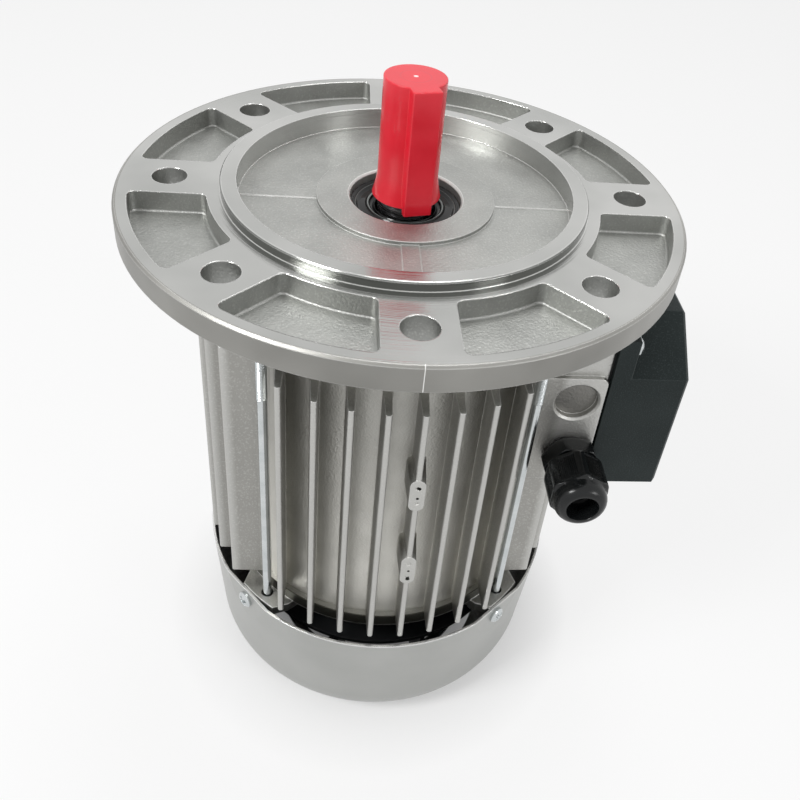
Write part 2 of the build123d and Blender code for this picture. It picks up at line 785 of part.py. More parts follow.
def oil_seal():
    """Rubber seal pressed into the flange: an outer wall, a web and a lip that runs on the shaft."""
    lip = drive_bearing[0] + running_gap
    back = seal_face - seal_width
    return turned([
        (seal_radius, seal_face), (seal_radius, back), (seal_radius - 2.5, back), (seal_radius - 2.5, seal_face - 2.5),
        (lip + 2.6, seal_face - 2.5), (lip + 2.2, back + 1.2), (lip, back + 2.2), (lip + 0.8, seal_face - 2.0),
        (lip, seal_face - 0.6), (lip + 0.8, seal_face)])


# Tie rods


def tie_rods():
    rods = Part()
    end = ear_bottom - rod_washer - rod_nut_height - 1.5
    thread_start = ear_bottom + 4
    for x, y in corner_points(rod_circle_radius, rod_angles):
        rods += rod_along_z(rod_radius, end, rod_top, x, y)
        rods += rod_along_z(rod_thread_radius, rod_thread_end, rod_top, x, y)
        rods += rod_along_z(rod_thread_radius, end, thread_start, x, y)
    return rods


def tie_rod_nuts():
    """Nut and washer under each ear."""
    nuts = Part()
    top = ear_bottom - rod_washer
    hole = rod_thread_radius + thread_gap
    for angle in rod_angles:
        nut = hexagon(rod_nut_flats, top - rod_nut_height, top) - rod_along_z(hole, top - 6, top + 1)
        washer = tube(4.0, hole, top, ear_bottom)
        nuts += Rot(0, 0, angle) * Pos(rod_circle_radius, 0, 0) * (nut + washer)
    return nuts


# Terminal box


def lid_screw_places():
    """Y and Z of the four lid screws."""
    side = lid_half_width - lid_screw_inset
    return [(y, z) for y in (-side, side) for z in (lid_top - lid_screw_inset, lid_bottom + lid_screw_inset)]


def lid_outline(inset, chamfered):
    """Outline of the lid in the YZ plane, drawn in by inset."""
    side = lid_half_width - inset
    top = lid_top - inset
    bottom = lid_bottom + inset
    if not chamfered:
        return make_face(Plane.YZ * Polyline((-side, bottom), (side, bottom), (side, top), (-side, top), close=True))
    cut_y = lid_chamfer_y - 0.4 * inset
    cut_z = lid_chamfer_z - 0.4 * inset
    return make_face(Plane.YZ * Polyline((-side, bottom), (side, bottom), (side, top - cut_z), (side - cut_y, top),
                                         (cut_y - side, top), (-side, top - cut_z), close=True))


def terminal_box_lid():
    """Moulded lid: a flat plate that takes the screws and a raised body with two cut corners."""
    plate = extrude(Pos(lid_inside, 0, 0) * lid_outline(0, False), lid_plate)
    raised = extrude(Pos(lid_inside, 0, 0) * lid_outline(0, True), lid_height)
    raised = chamfer(raised.faces().sort_by(Axis.X)[-1].edges(), lid_bevel)
    body = plate + raised
    hollow = extrude(Pos(lid_inside - 1, 0, 0) * lid_outline(lid_wall, True), lid_height - lid_wall + 1)
    body -= hollow
    for y, z in lid_screw_places():
        if z < (lid_top + lid_bottom) / 2:
            post = rod_along_x(5.6, lid_inside, lid_outside - 1.5, y, z)
            well = rod_along_x(4.2, lid_face, lid_outside + 1, y, z)
            body += post & raised
            body -= well
        body -= rod_along_x(2.2, lid_inside - 1, lid_face + 1, y, z)
    return body


def lid_gasket():
    outer = extrude(Pos(seat_face, 0, 0) * lid_outline(gasket_inset, False), gasket_thickness)
    inner = block(seat_face - 1, lid_inside + 1, seat_wall - seat_half_width, seat_half_width - seat_wall,
                  seat_bottom + seat_wall, seat_top - seat_wall)
    corners = Part()
    for y, z in lid_screw_places():
        corners += rod_along_x(4.5, seat_face, lid_inside, y, z) & outer
    gasket = outer - inner + corners
    for y, z in lid_screw_places():
        gasket -= rod_along_x(2.2, seat_face - 1, lid_inside + 1, y, z)
    return gasket


def lid_screws():
    screws = Part()
    for y, z in lid_screw_places():
        shank = rod_along_x(1.55, seat_face - lid_screw_depth, lid_face + 0.5, y, z)
        head = rod_along_x(3.9, lid_face, lid_face + 3.4, y, z)
        head = fillet(head.edges().group_by(Axis.X)[-1], 1.6)
        screws += shank + head
    return screws


def stud_places():
    rows = (board_level - stud_pitch_z / 2, board_level + stud_pitch_z / 2)
    return [(i * stud_pitch_y, z) for i in (-1, 0, 1) for z in rows]


def terminal_board():
    """Moulded board with a barrier rib between its three columns of studs."""
    low = board_face - board_thickness
    body = block(low, board_face, -board_width / 2, board_width / 2,
                 board_level - board_height / 2, board_level + board_height / 2)
    body = fillet(body.edges().filter_by(Axis.X), 2.0)
    for side in (-1, 1):
        y = side * stud_pitch_y / 2
        body += block(board_face - 1, board_face + 4, y - 0.8, y + 0.8,
                      board_level - board_height / 2 + 1, board_level + board_height / 2 - 1)
    for y, z in stud_places():
        body -= rod_along_x(stud_radius + press_gap, low - 1, board_face + 1, y, z)
    return body


def terminal_studs():
    studs = Part()
    for y, z in stud_places():
        studs += rod_along_x(stud_radius, board_face - board_thickness + 1, board_face + stud_length, y, z)
    return studs


def terminal_nuts():
    """A lower nut and a clamping nut on each stud, above and below the links."""
    nuts = Part()
    for y, z in stud_places():
        for low in (board_face, board_face + nut_height + link_thickness):
            nut = hexagon(nut_flats, 0, nut_height) - rod_along_z(stud_radius + thread_gap, -1, nut_height + 1)
            nuts += Pos(low, y, z) * Rot(0, 90, 0) * nut
    return nuts


def terminal_links():
    """Three brass links, each across one column of studs."""
    links = Part()
    low = board_face + nut_height
    for i in (-1, 0, 1):
        y = i * stud_pitch_y
        link = extrude(SlotOverall(stud_pitch_z + link_width, link_width), link_thickness)
        links += Pos(low, y, board_level) * Rot(0, 90, 0) * link
    for y, z in stud_places():
        links -= rod_along_x(stud_radius + thread_gap, low - 1, low + link_thickness + 1, y, z)
    return links


def earth_place():
    """Height of the seat's floor, and Y and Z of the earth screw that stands on it."""
    y = board_width / 2 + 7
    return sqrt(floor_radius ** 2 - y ** 2), y, board_level


def earth_screw():
    """Brass earth screw in the floor of the seat, beside the board."""
    shelf, y, z = earth_place()
    shank = rod_along_x(2.0, shelf - 2, shelf + 6, y, z)
    head = Pos(shelf + 4, y, z) * Rot(0, 90, 0) * hexagon(7.0, 0, 3.0)
    return shank + head


# Cable gland


def gland_prism(flats, angle, start, end):
    """A hexagonal prism along -Y on the gland's axis; start and end are distances out from the pad."""
    prism = Rot(0, 0, angle) * hexagon(flats, start, end)
    return Pos(entry_x, -pad_face, gland_level) * Rot(90, 0, 0) * prism


def gland_rod(radius, start, end):
    return rod_along_y(radius, -pad_face - end, -pad_face - start, entry_x, gland_level)


def gland_turned(points):
    """A solid of revolution on the gland's axis from (radius, distance out) corners."""
    return Pos(entry_x, -pad_face, gland_level) * Rot(90, 0, 0) * turned(points)


def gland_washer_ring():
    ring = gland_rod(gland_flats / 2 - 0.5, 0, gland_washer)
    return ring - gland_rod(entry_radius + thread_gap, -1, gland_washer + 1)


def gland_body():
    """Hexagon, thread into the box and a neck that carries the nut."""
    hex_end = gland_washer + gland_hex_length
    corner = gland_flats / sqrt(3)
    cut = gland_hex_chamfer
    envelope = gland_turned([(0, gland_washer), (corner - cut, gland_washer), (corner, gland_washer + cut),
                             (corner, hex_end - cut / 2), (corner - cut / 2, hex_end), (0, hex_end)])
    body = gland_prism(gland_flats, gland_hex_angle, gland_washer, hex_end) & envelope
    body += gland_rod(entry_radius - thread_gap, -gland_thread_inside, gland_washer + 1)
    body += gland_rod(gland_neck_radius, hex_end - 1, hex_end + gland_neck_length)
    return body - gland_rod(gland_bore, -gland_thread_inside - 1, hex_end + gland_neck_length + 1)


def gland_seal():
    """Rubber bush inside the neck that grips the cable."""
    hex_end = gland_washer + gland_hex_length
    seal = gland_rod(gland_bore - press_gap, hex_end - 2, hex_end + gland_neck_length + 1.5)
    return seal - gland_rod(cable_radius, hex_end - 3, hex_end + gland_neck_length + 3)


def gland_nut():
    """Domed nut: six flats with rounded corners, a step and a rounded end with the cable's mouth."""
    start = gland_washer + gland_hex_length + gland_nut_gap
    end = start + gland_nut_length
    dome = end - gland_dome_length
    outer = gland_nut_radius
    step = gland_dome_radius
    lip = gland_mouth_radius + 0.5
    shoulder = dome + 2 * gland_dome_step
    middle = (lip + (step - lip) * 0.74, end - (end - shoulder) * 0.28)
    outline = Polyline((step, shoulder), (step, dome + gland_dome_step), (outer, dome), (outer, start + 0.8),
                       (outer - 0.4, start), (0, start), (0, end), (lip, end))
    profile = outline + ThreePointArc((lip, end), middle, (step, shoulder))
    envelope = revolve(make_face(Plane.XZ * profile), axis=Axis.Z)
    body = gland_prism(gland_nut_flats, gland_nut_angle, start, end)
    body &= Pos(entry_x, -pad_face, gland_level) * Rot(90, 0, 0) * envelope
    seal_end = gland_washer + gland_hex_length + gland_neck_length + 1.5 + free_gap
    body -= gland_rod(gland_neck_radius + free_gap, start - 1, seal_end)
    return body - gland_rod(gland_mouth_radius, start - 1, end + 1)


drive_centre = drive_bearing_top - drive_bearing[2] / 2
rear_centre = rear_bearing_bottom + rear_bearing[2] / 2

pieces = {
    "flange_end_shield": flange_end_shield(),
    "stator_frame": stator_frame(),
    "rear_end_shield": rear_end_shield(),
    "fan_cover": fan_cover(),
    "fan_cover_screws": fan_cover_screws(),
    "cooling_fan": cooling_fan(),
    "fan_clip": fan_clip(),
    "rotor_shaft": rotor_shaft(),
    "shaft_key": shaft_key(),
    "shaft_sleeve": shaft_sleeve(),
    "rotor_core": rotor_core(),
    "rotor_cage": rotor_cage(),
    "stator_core": stator_core(),
    "stator_winding": stator_winding(),
    "drive_bearing_inner_ring": bearing_ring(drive_bearing, drive_centre, True),
    "drive_bearing_outer_ring": bearing_ring(drive_bearing, drive_centre, False),
    "drive_bearing_balls": bearing_balls(drive_bearing, drive_centre),
    "drive_bearing_cage": bearing_cage(drive_bearing, drive_centre),
    "rear_bearing_inner_ring": bearing_ring(rear_bearing, rear_centre, True),
    "rear_bearing_outer_ring": bearing_ring(rear_bearing, rear_centre, False),
    "rear_bearing_balls": bearing_balls(rear_bearing, rear_centre),
    "rear_bearing_cage": bearing_cage(rear_bearing, rear_centre),
    "preload_washer": preload_washer(),
    "oil_seal": oil_seal(),
    "tie_rods": tie_rods(),
    "tie_rod_nuts": tie_rod_nuts(),
    "terminal_box_lid": terminal_box_lid(),
    "lid_gasket": lid_gasket(),
    "lid_screws": lid_screws(),
    "terminal_board": terminal_board(),
    "terminal_studs": terminal_studs(),
    "terminal_nuts": terminal_nuts(),
    "terminal_links": terminal_links(),
    "earth_screw": earth_screw(),
    "gland_washer": gland_washer_ring(),
    "gland_body": gland_body(),
    "gland_seal": gland_seal(),
    "gland_nut": gland_nut(),
}

for name, shape in pieces.items():
    export_step(shape, f"parts/{name}.step")
    print(name, len(shape.solids()), round(shape.volume))
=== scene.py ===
import bmesh
import bpy
import numpy as np
from math import cos, pi, radians, sin
from mathutils import Matrix, Vector


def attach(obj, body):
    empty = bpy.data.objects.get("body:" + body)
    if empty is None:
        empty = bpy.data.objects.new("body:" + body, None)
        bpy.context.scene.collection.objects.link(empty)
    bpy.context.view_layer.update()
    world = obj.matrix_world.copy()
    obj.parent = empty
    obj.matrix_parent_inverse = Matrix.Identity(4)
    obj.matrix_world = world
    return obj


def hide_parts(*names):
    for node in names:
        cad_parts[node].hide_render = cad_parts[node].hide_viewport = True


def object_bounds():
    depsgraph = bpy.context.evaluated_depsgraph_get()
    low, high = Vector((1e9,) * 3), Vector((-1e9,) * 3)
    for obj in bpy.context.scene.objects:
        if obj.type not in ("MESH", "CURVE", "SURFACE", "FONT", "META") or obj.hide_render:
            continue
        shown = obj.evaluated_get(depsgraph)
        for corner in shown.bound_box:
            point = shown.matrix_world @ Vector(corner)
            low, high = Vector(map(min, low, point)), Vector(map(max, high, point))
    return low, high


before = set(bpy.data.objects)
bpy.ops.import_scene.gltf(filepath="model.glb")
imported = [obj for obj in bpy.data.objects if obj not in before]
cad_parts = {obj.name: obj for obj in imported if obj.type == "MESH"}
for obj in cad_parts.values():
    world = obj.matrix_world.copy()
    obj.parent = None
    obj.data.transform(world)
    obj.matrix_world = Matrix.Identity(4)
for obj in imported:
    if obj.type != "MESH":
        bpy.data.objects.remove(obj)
cad_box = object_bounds()

# Camera.
# The picture is taken from in front and above, a little turned, with the motor standing on its fan
# cover. The small shift puts the middle of the lens where the photograph has it. The focal length and the
# lens centre are in pixels of a picture 800 wide.
photo_width = 800
focal_length = 888.721
lens_centre = (434.644, 336.045)
camera_place = (-0.025421, -0.282961, 0.152293)
view_turn = radians(-8.442)
view_height = radians(37.444)
view_roll = radians(6.952)
back = Vector((sin(view_turn) * cos(view_height), -cos(view_turn) * cos(view_height), sin(view_height)))
right = (-back).cross(Vector((0, 0, 1))).normalized()
down = (-back).cross(right)
camera_x = right * cos(view_roll) - down * sin(view_roll)
camera_y = -(right * sin(view_roll) + down * cos(view_roll))
lens = bpy.data.cameras.new("camera")
lens.sensor_width = 36.0
lens.lens = focal_length / photo_width * lens.sensor_width
lens.shift_x = 0.5 - lens_centre[0] / photo_width
lens.shift_y = lens_centre[1] / photo_width - 0.5
lens.clip_start = 0.01
camera = bpy.data.objects.new("camera", lens)
camera.matrix_world = Matrix((
    (camera_x.x, camera_y.x, back.x, camera_place[0]),
    (camera_x.y, camera_y.y, back.y, camera_place[1]),
    (camera_x.z, camera_y.z, back.z, camera_place[2]),
    (0, 0, 0, 1)))
bpy.context.scene.collection.objects.link(camera)
bpy.context.scene.camera = camera
bpy.context.scene.view_settings.view_transform = "Standard"

# White table.
# A plain sheet of white paper under the motor. It is matt, so it takes the motor's soft shadow. Where it is
# seen away from the motor it glows a little as well, and seen from below it is clear, so the grille shows.
table_half = 4.0
table_gap = 0.00005
table_level = cad_box[0][2] - table_gap
table_corners = [(x * table_half, y * table_half, table_level)
                 for x, y in ((-1, -1), (1, -1), (1, 1), (-1, 1))]
table_mesh = bpy.data.meshes.new("white_table")
table_mesh.from_pydata(table_corners, [], [(0, 1, 2, 3)])
table = bpy.data.objects.new("white_table", table_mesh)
bpy.context.scene.collection.objects.link(table)


def plain_finish(name, color, roughness, metallic=0.0):
    """A new material whose own shader holds the given colour, roughness and metallic value."""
    material = bpy.data.materials.new(name)
    material.use_nodes = True
    shader = material.node_tree.nodes["Principled BSDF"]
    shader.inputs["Base Color"].default_value = (*color, 1)
    shader.inputs["Roughness"].default_value = roughness
    shader.inputs["Metallic"].default_value = metallic
    return material, material.node_tree, shader


def math_node(tree, operation, *values):
    """A Math node fed by sockets or plain numbers; returns its result."""
    node = tree.nodes.new("ShaderNodeMath")
    node.operation = operation
    for socket, value in zip(node.inputs, values):
        if isinstance(value, (int, float)):
            socket.default_value = value
        else:
            tree.links.new(value, socket)
    return node.outputs[0]


def seen_or_mirrored(tree):
    """1 for rays from the camera, off a gloss or through glass, and 0 for the rays that light matt things."""
    path = tree.nodes.new("ShaderNodeLightPath").outputs
    mirrored = math_node(tree, "MAXIMUM", path["Is Glossy Ray"], path["Is Transmission Ray"])
    return math_node(tree, "MAXIMUM", path["Is Camera Ray"], mirrored)


def mix_shaders(tree, share, first, second):
    """The first shader where share is 0 and the second where it is 1."""
    node = tree.nodes.new("ShaderNodeMixShader")
    tree.links.new(share, node.inputs["Fac"])
    tree.links.new(first, node.inputs[1])
    tree.links.new(second, node.inputs[2])
    return node.outputs[0]


paper, tree, shader = plain_finish("white_paper", (0.86, 0.86, 0.86), 0.9)
paper_glow = 0.76
shade_reach = 0.10
away = tree.nodes.new("ShaderNodeVectorMath")
away.operation = "LENGTH"
tree.links.new(tree.nodes.new("ShaderNodeTexCoord").outputs["Object"], away.inputs[0])
glow = tree.nodes.new("ShaderNodeMapRange")
glow.inputs["From Min"].default_value = abs(table_level)
glow.inputs["From Max"].default_value = (table_level ** 2 + shade_reach ** 2) ** 0.5
glow.inputs["To Max"].default_value = paper_glow
tree.links.new(away.outputs["Value"], glow.inputs["Value"])
share = math_node(tree, "MULTIPLY", seen_or_mirrored(tree), glow.outputs["Result"])
lit = mix_shaders(tree, share, shader.outputs[0], tree.nodes.new("ShaderNodeEmission").outputs[0])
from_below = tree.nodes.new("ShaderNodeNewGeometry").outputs["Backfacing"]
sided = mix_shaders(tree, from_below, lit, tree.nodes.new("ShaderNodeBsdfTransparent").outputs[0])
tree.links.new(sided, tree.nodes["Material Output"].inputs["Surface"])
table_mesh.materials.append(paper)

# Room and lamps.
# A white room seen directly and in the gloss of metal, at less than half strength for matt surfaces, and
# three soft boxes: the main one at the left, a weaker one at the right and one overhead.
room = bpy.data.worlds.new("white_room")
bpy.context.scene.world = room
room.use_nodes = True
tree = room.node_tree
soft = tree.nodes["Background"]
full = tree.nodes.new("ShaderNodeBackground")
for background, strength in ((soft, 0.4), (full, 1.0)):
    background.inputs["Color"].default_value = (1, 1, 1, 1)
    background.inputs["Strength"].default_value = strength
walls = mix_shaders(tree, seen_or_mirrored(tree), soft.outputs[0], full.outputs[0])
tree.links.new(walls, tree.nodes["World Output"].inputs["Surface"])


def soft_box(name, place, target, size, power):
    """A square lamp at place that faces target."""
    light = bpy.data.lights.new(name, "AREA")
    light.size = size
    light.energy = power
    lamp = bpy.data.objects.new(name, light)
    lamp.location = place
    lamp.rotation_euler = (Vector(target) - Vector(place)).to_track_quat("-Z", "Y").to_euler()
    bpy.context.scene.collection.objects.link(lamp)


soft_box("main_lamp", place=(-0.75, -0.45, 0.75), target=(0, 0, -0.05), size=0.35, power=8.0)
soft_box("right_lamp", place=(0.9, -0.8, 0.35), target=(0, 0, -0.1), size=0.35, power=2.6)
soft_box("top_lamp", place=(0.15, 0.35, 1.2), target=(0, 0, 0), size=0.5, power=5.0)


# Drive-end shield.
# One aluminium casting, shot-blasted, then turned on a lathe: the flange's face, its rim, the spigot and
# the bore of the seal are cut bright, while the eight pockets and the sunk floor stay as cast. A thin bright
# line across the rim is a painted reflection.
def shader_group(name, inputs, outputs):
    """A node group with named float or vector sockets; returns its tree and its in and out nodes."""
    group = bpy.data.node_groups.new(name, "ShaderNodeTree")
    for label, kind, value in inputs:
        socket = group.interface.new_socket(name=label, in_out="INPUT", socket_type=kind)
        socket.default_value = value
    for label, kind in outputs:
        group.interface.new_socket(name=label, in_out="OUTPUT", socket_type=kind)
    return group, group.nodes.new("NodeGroupInput"), group.nodes.new("NodeGroupOutput")


def step_between(tree, value, low, high):
    """0 below low, 1 above high and a straight ramp between them."""
    node = tree.nodes.new("ShaderNodeMapRange")
    tree.links.new(value, node.inputs["Value"])
    node.inputs["From Min"].default_value = low
    node.inputs["From Max"].default_value = high
    return node.outputs["Result"]


def blend(tree, mask, first, second, kind="FLOAT"):
    """first where mask is 0 and second where it is 1, for numbers or colours."""
    node = tree.nodes.new("ShaderNodeMix")
    node.data_type = kind
    ends = {"FLOAT": (0, 2, 3), "RGBA": (0, 6, 7)}[kind]
    for index, value in zip(ends, (mask, first, second)):
        if isinstance(value, bpy.types.NodeSocket):
            tree.links.new(value, node.inputs[index])
        else:
            node.inputs[index].default_value = value
    return node.outputs[{"FLOAT": 0, "RGBA": 2}[kind]]


def noise(tree, scale, detail=2.0):
    """Noise on Object coordinates, at features of about 1 / scale metres."""
    node = tree.nodes.new("ShaderNodeTexNoise")
    node.inputs["Scale"].default_value = scale
    node.inputs["Detail"].default_value = detail
    tree.links.new(tree.nodes.new("ShaderNodeTexCoord").outputs["Object"], node.inputs["Vector"])
    return node.outputs["Fac"]


def use_group(tree, group, **values):
    """The group placed in the tree, its inputs fed by sockets or plain numbers; returns its outputs."""
    node = tree.nodes.new("ShaderNodeGroup")
    node.node_tree = group
    for label, value in values.items():
        socket = node.inputs[label.replace("_", " ")]
        if isinstance(value, (int, float)):
            socket.default_value = value
        else:
            tree.links.new(value, socket)
    return node.outputs


# Grain: three noises, one for tiny peaks, one for grit and one for slow clouds.
grain_group, inside, outside = shader_group(
    "surface_grain", [("Size", "NodeSocketFloat", 0.0004), ("Cloud size", "NodeSocketFloat", 0.02)],
    [("Height", "NodeSocketFloat"), ("Speck", "NodeSocketFloat"), ("Cloud", "NodeSocketFloat")])
place = grain_group.nodes.new("ShaderNodeTexCoord").outputs["Object"]
for socket_in, factor, detail, output, low, high in (
        ("Size", 1.0, 2.0, "Height", 0.25, 0.75), ("Size", 1.1, 1.0, "Speck", 0.56, 0.68),
        ("Cloud size", 1.0, 3.0, "Cloud", 0.3, 0.7)):
    node = grain_group.nodes.new("ShaderNodeTexNoise")
    node.inputs["Detail"].default_value = detail
    grain_group.links.new(place, node.inputs["Vector"])
    scale = math_node(grain_group, "DIVIDE", factor, inside.outputs[socket_in])
    grain_group.links.new(scale, node.inputs["Scale"])
    grain_group.links.new(step_between(grain_group, node.outputs["Fac"], low, high), outside.inputs[output])

# Rounded edges: the normal of a small bevel and a mask of where it bends away from the face.
edge_group, inside, outside = shader_group(
    "rounded_edge", [("Radius", "NodeSocketFloat", 0.0004)],
    [("Normal", "NodeSocketVector"), ("Edge", "NodeSocketFloat")])
bevel = edge_group.nodes.new("ShaderNodeBevel")
bevel.samples = 4
edge_group.links.new(inside.outputs["Radius"], bevel.inputs["Radius"])
flat = edge_group.nodes.new("ShaderNodeNewGeometry").outputs["Normal"]
dot = edge_group.nodes.new("ShaderNodeVectorMath")
dot.operation = "DOT_PRODUCT"
edge_group.links.new(bevel.outputs["Normal"], dot.inputs[0])
edge_group.links.new(flat, dot.inputs[1])
edge_group.links.new(bevel.outputs["Normal"], outside.inputs["Normal"])
bent = math_node(edge_group, "SUBTRACT", 1.0, dot.outputs["Value"])
edge_group.links.new(step_between(edge_group, bent, 0.01, 0.16), outside.inputs["Edge"])

# Lathe marks: fine rings about Z, whose height depends on the distance from the axis and on the level.
lathe_group, inside, outside = shader_group(
    "lathe_rings", [("Pitch", "NodeSocketFloat", 0.0003)],
    [("Height", "NodeSocketFloat"), ("Radius", "NodeSocketFloat"), ("Level", "NodeSocketFloat")])
split = lathe_group.nodes.new("ShaderNodeSeparateXYZ")
lathe_group.links.new(lathe_group.nodes.new("ShaderNodeTexCoord").outputs["Object"], split.inputs[0])
square = math_node(lathe_group, "MULTIPLY", split.outputs["X"], split.outputs["X"])
square = math_node(lathe_group, "MULTIPLY_ADD", split.outputs["Y"], split.outputs["Y"], square)
distance = math_node(lathe_group, "SQRT", square)
along = math_node(lathe_group, "ADD", distance, split.outputs["Z"])
combine = lathe_group.nodes.new("ShaderNodeCombineXYZ")
lathe_group.links.new(math_node(lathe_group, "DIVIDE", along, inside.outputs["Pitch"]), combine.inputs[0])
ring_noise = lathe_group.nodes.new("ShaderNodeTexNoise")
ring_noise.inputs["Scale"].default_value = 1.0
ring_noise.inputs["Detail"].default_value = 1.0
lathe_group.links.new(combine.outputs[0], ring_noise.inputs["Vector"])
lathe_group.links.new(ring_noise.outputs["Fac"], outside.inputs["Height"])
lathe_group.links.new(distance, outside.inputs["Radius"])
lathe_group.links.new(split.outputs["Z"], outside.inputs["Level"])


def finish_normal(tree, shader, height, strength, distance=0.0001, under=None):
    """Bumps of the given height on top of the normal under, fed to the shader."""
    bump = tree.nodes.new("ShaderNodeBump")
    bump.inputs["Strength"].default_value = strength
    bump.inputs["Distance"].default_value = distance
    tree.links.new(height, bump.inputs["Height"])
    if under is not None:
        tree.links.new(under, bump.inputs["Normal"])
    tree.links.new(bump.outputs["Normal"], shader.inputs["Normal"])


def cast_metal(name, color, roughness, grain_size, edge_radius, contrast):
    """Blasted cast aluminium: grey clouds, bright specks, a painted highlight along the edges and a fine even
    grain.
    """
    material, tree, shader = plain_finish(name, color, roughness, 1.0)
    grain = use_group(tree, grain_group, Size=grain_size, Cloud_size=0.016)
    edge = use_group(tree, edge_group, Radius=edge_radius)
    dark = tuple(c * (1 - contrast) for c in color)
    light = tuple(min(1.0, c * (1 + contrast)) for c in color)
    speck_color = (0.72, 0.72, 0.70, 1)
    edge_highlight_color = (0.82, 0.82, 0.80, 1)
    speck_gloss = 0.26
    specks = math_node(tree, "MULTIPLY", grain["Speck"], 0.18)
    # The edges are lightened towards a pale grey: a painted highlight along them.
    edges = math_node(tree, "MULTIPLY", edge["Edge"], 0.7)
    cloudy = blend(tree, grain["Cloud"], (*dark, 1), (*light, 1), "RGBA")
    gritty = blend(tree, specks, cloudy, speck_color, "RGBA")
    tree.links.new(blend(tree, edges, gritty, edge_highlight_color, "RGBA"), shader.inputs["Base Color"])
    rough = blend(tree, grain["Cloud"], roughness - 0.06, roughness + 0.08)
    glossy_specks = math_node(tree, "MULTIPLY", grain["Speck"], 0.4)
    tree.links.new(blend(tree, glossy_specks, rough, speck_gloss), shader.inputs["Roughness"])
    finish_normal(tree, shader, grain["Height"], 0.6, 0.00012, edge["Normal"])
    return material, tree, shader


def dress(names, material):
    """Gives CAD nodes this material in place of their plain one."""
    for name in names:
        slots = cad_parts[name].data.materials
        slots.clear()
        slots.append(material)


shield_metal, tree, shader = cast_metal("shield_aluminium", (0.36, 0.365, 0.35), roughness=0.48,
                                        grain_size=0.0008, edge_radius=0.0006, contrast=0.08)
face_level = -0.00035
face_start = 0.058
rim_start = 0.0988
floor_wall_radius = 0.0594
floor_wall_foot = -0.0044
spigot_radius = 0.065
spigot_foot = 0.0002
seal_bore_radius = 0.0209
skin_depth = 0.0003
rim_reflection_place = 0.00035
rim_reflection_half = 0.00014
turned_tones = ((0.43, 0.435, 0.42, 1), (0.56, 0.56, 0.545, 1))
rim_tones = ((0.24, 0.237, 0.222, 1), (0.36, 0.355, 0.335, 1))
spigot_shade_tone = (0.17, 0.175, 0.165, 1)
bore_tone = (0.60, 0.60, 0.58, 1)
edge_highlight_tone = (0.88, 0.88, 0.86, 1)
rim_reflection_tone = (0.8, 0.8, 0.78, 1)
rings = use_group(tree, lathe_group, Pitch=0.00028)
radius, level = rings["Radius"], rings["Level"]
face = math_node(tree, "MULTIPLY", math_node(tree, "GREATER_THAN", level, face_level),
                 math_node(tree, "GREATER_THAN", radius, face_start))
rim = math_node(tree, "GREATER_THAN", radius, rim_start)
wall = math_node(tree, "MULTIPLY", math_node(tree, "COMPARE", radius, floor_wall_radius, skin_depth),
                 math_node(tree, "GREATER_THAN", level, floor_wall_foot))
spigot_side = math_node(tree, "MULTIPLY", math_node(tree, "COMPARE", radius, spigot_radius, skin_depth),
                        math_node(tree, "GREATER_THAN", level, spigot_foot))
seal_bore = math_node(tree, "LESS_THAN", radius, seal_bore_radius)
turned = math_node(tree, "MAXIMUM", math_node(tree, "MAXIMUM", face, rim),
                   math_node(tree, "MAXIMUM", wall, seal_bore))
split = tree.nodes.new("ShaderNodeSeparateXYZ")
tree.links.new(tree.nodes.new("ShaderNodeTexCoord").outputs["Object"], split.inputs[0])
# A thin bright line painted across the front of the rim is a painted reflection.
rim_reflection_line = math_node(tree, "MULTIPLY", math_node(tree, "COMPARE", split.outputs["X"], rim_reflection_place, rim_reflection_half),
                  math_node(tree, "LESS_THAN", split.outputs["Y"], -rim_start))
cast_color = shader.inputs["Base Color"].links[0].from_socket
cast_rough = shader.inputs["Roughness"].links[0].from_socket
streaks = step_between(tree, noise(tree, 18.0, 3.0), 0.35, 0.65)
bright = blend(tree, streaks, *turned_tones, "RGBA")
dull = blend(tree, rim, bright, blend(tree, streaks, *rim_tones, "RGBA"), "RGBA")
# The spigot's turned side is painted dark grey: a painted shade.
shaded = blend(tree, spigot_side, dull, spigot_shade_tone, "RGBA")
bored = blend(tree, seal_bore, shaded, bore_tone, "RGBA")
# The turned edges are lightened almost to white: a painted highlight.
turned_edge_highlight = math_node(tree, "MULTIPLY", use_group(tree, edge_group, Radius=0.0006)["Edge"], 0.75)
edge_highlighted = blend(tree, turned_edge_highlight, bored, edge_highlight_tone, "RGBA")
reflection_lined = blend(tree, rim_reflection_line, edge_highlighted, rim_reflection_tone, "RGBA")
tree.links.new(blend(tree, turned, cast_color, reflection_lined, "RGBA"), shader.inputs["Base Color"])
fine = blend(tree, math_node(tree, "MAXIMUM", rim, seal_bore), blend(tree, rings["Height"], 0.08, 0.18),
             blend(tree, rings["Height"], 0.34, 0.46))
tree.links.new(blend(tree, turned, cast_rough, fine), shader.inputs["Roughness"])
grain_bump = shader.inputs["Normal"].links[0].from_node
grain_height = grain_bump.inputs["Height"].links[0].from_socket
tree.links.new(blend(tree, turned, grain_height, math_node(tree, "MULTIPLY", rings["Height"], 0.8)),
               grain_bump.inputs["Height"])
dress(["flange_end_shield"], shield_metal)


# Oil seal.
# A moulded ring of black nitrile rubber pressed into the bore, with a dust lip that stands up round the
# shaft. It is glossy with oil.
def lathe(profile, around=96):
    """Grid of points: row i is the circle of the profile's i-th (radius, height) pair about Z."""
    profile = np.asarray(profile, float)
    turn = np.linspace(0, 2 * pi, around, endpoint=False)
    ring = np.stack([np.cos(turn), np.sin(turn)], axis=-1)
    flat_part = profile[:, None, :1] * ring[None, :, :]
    height = np.broadcast_to(profile[:, None, 1:], flat_part.shape[:2] + (1,))
    return np.concatenate([flat_part, height], axis=-1)


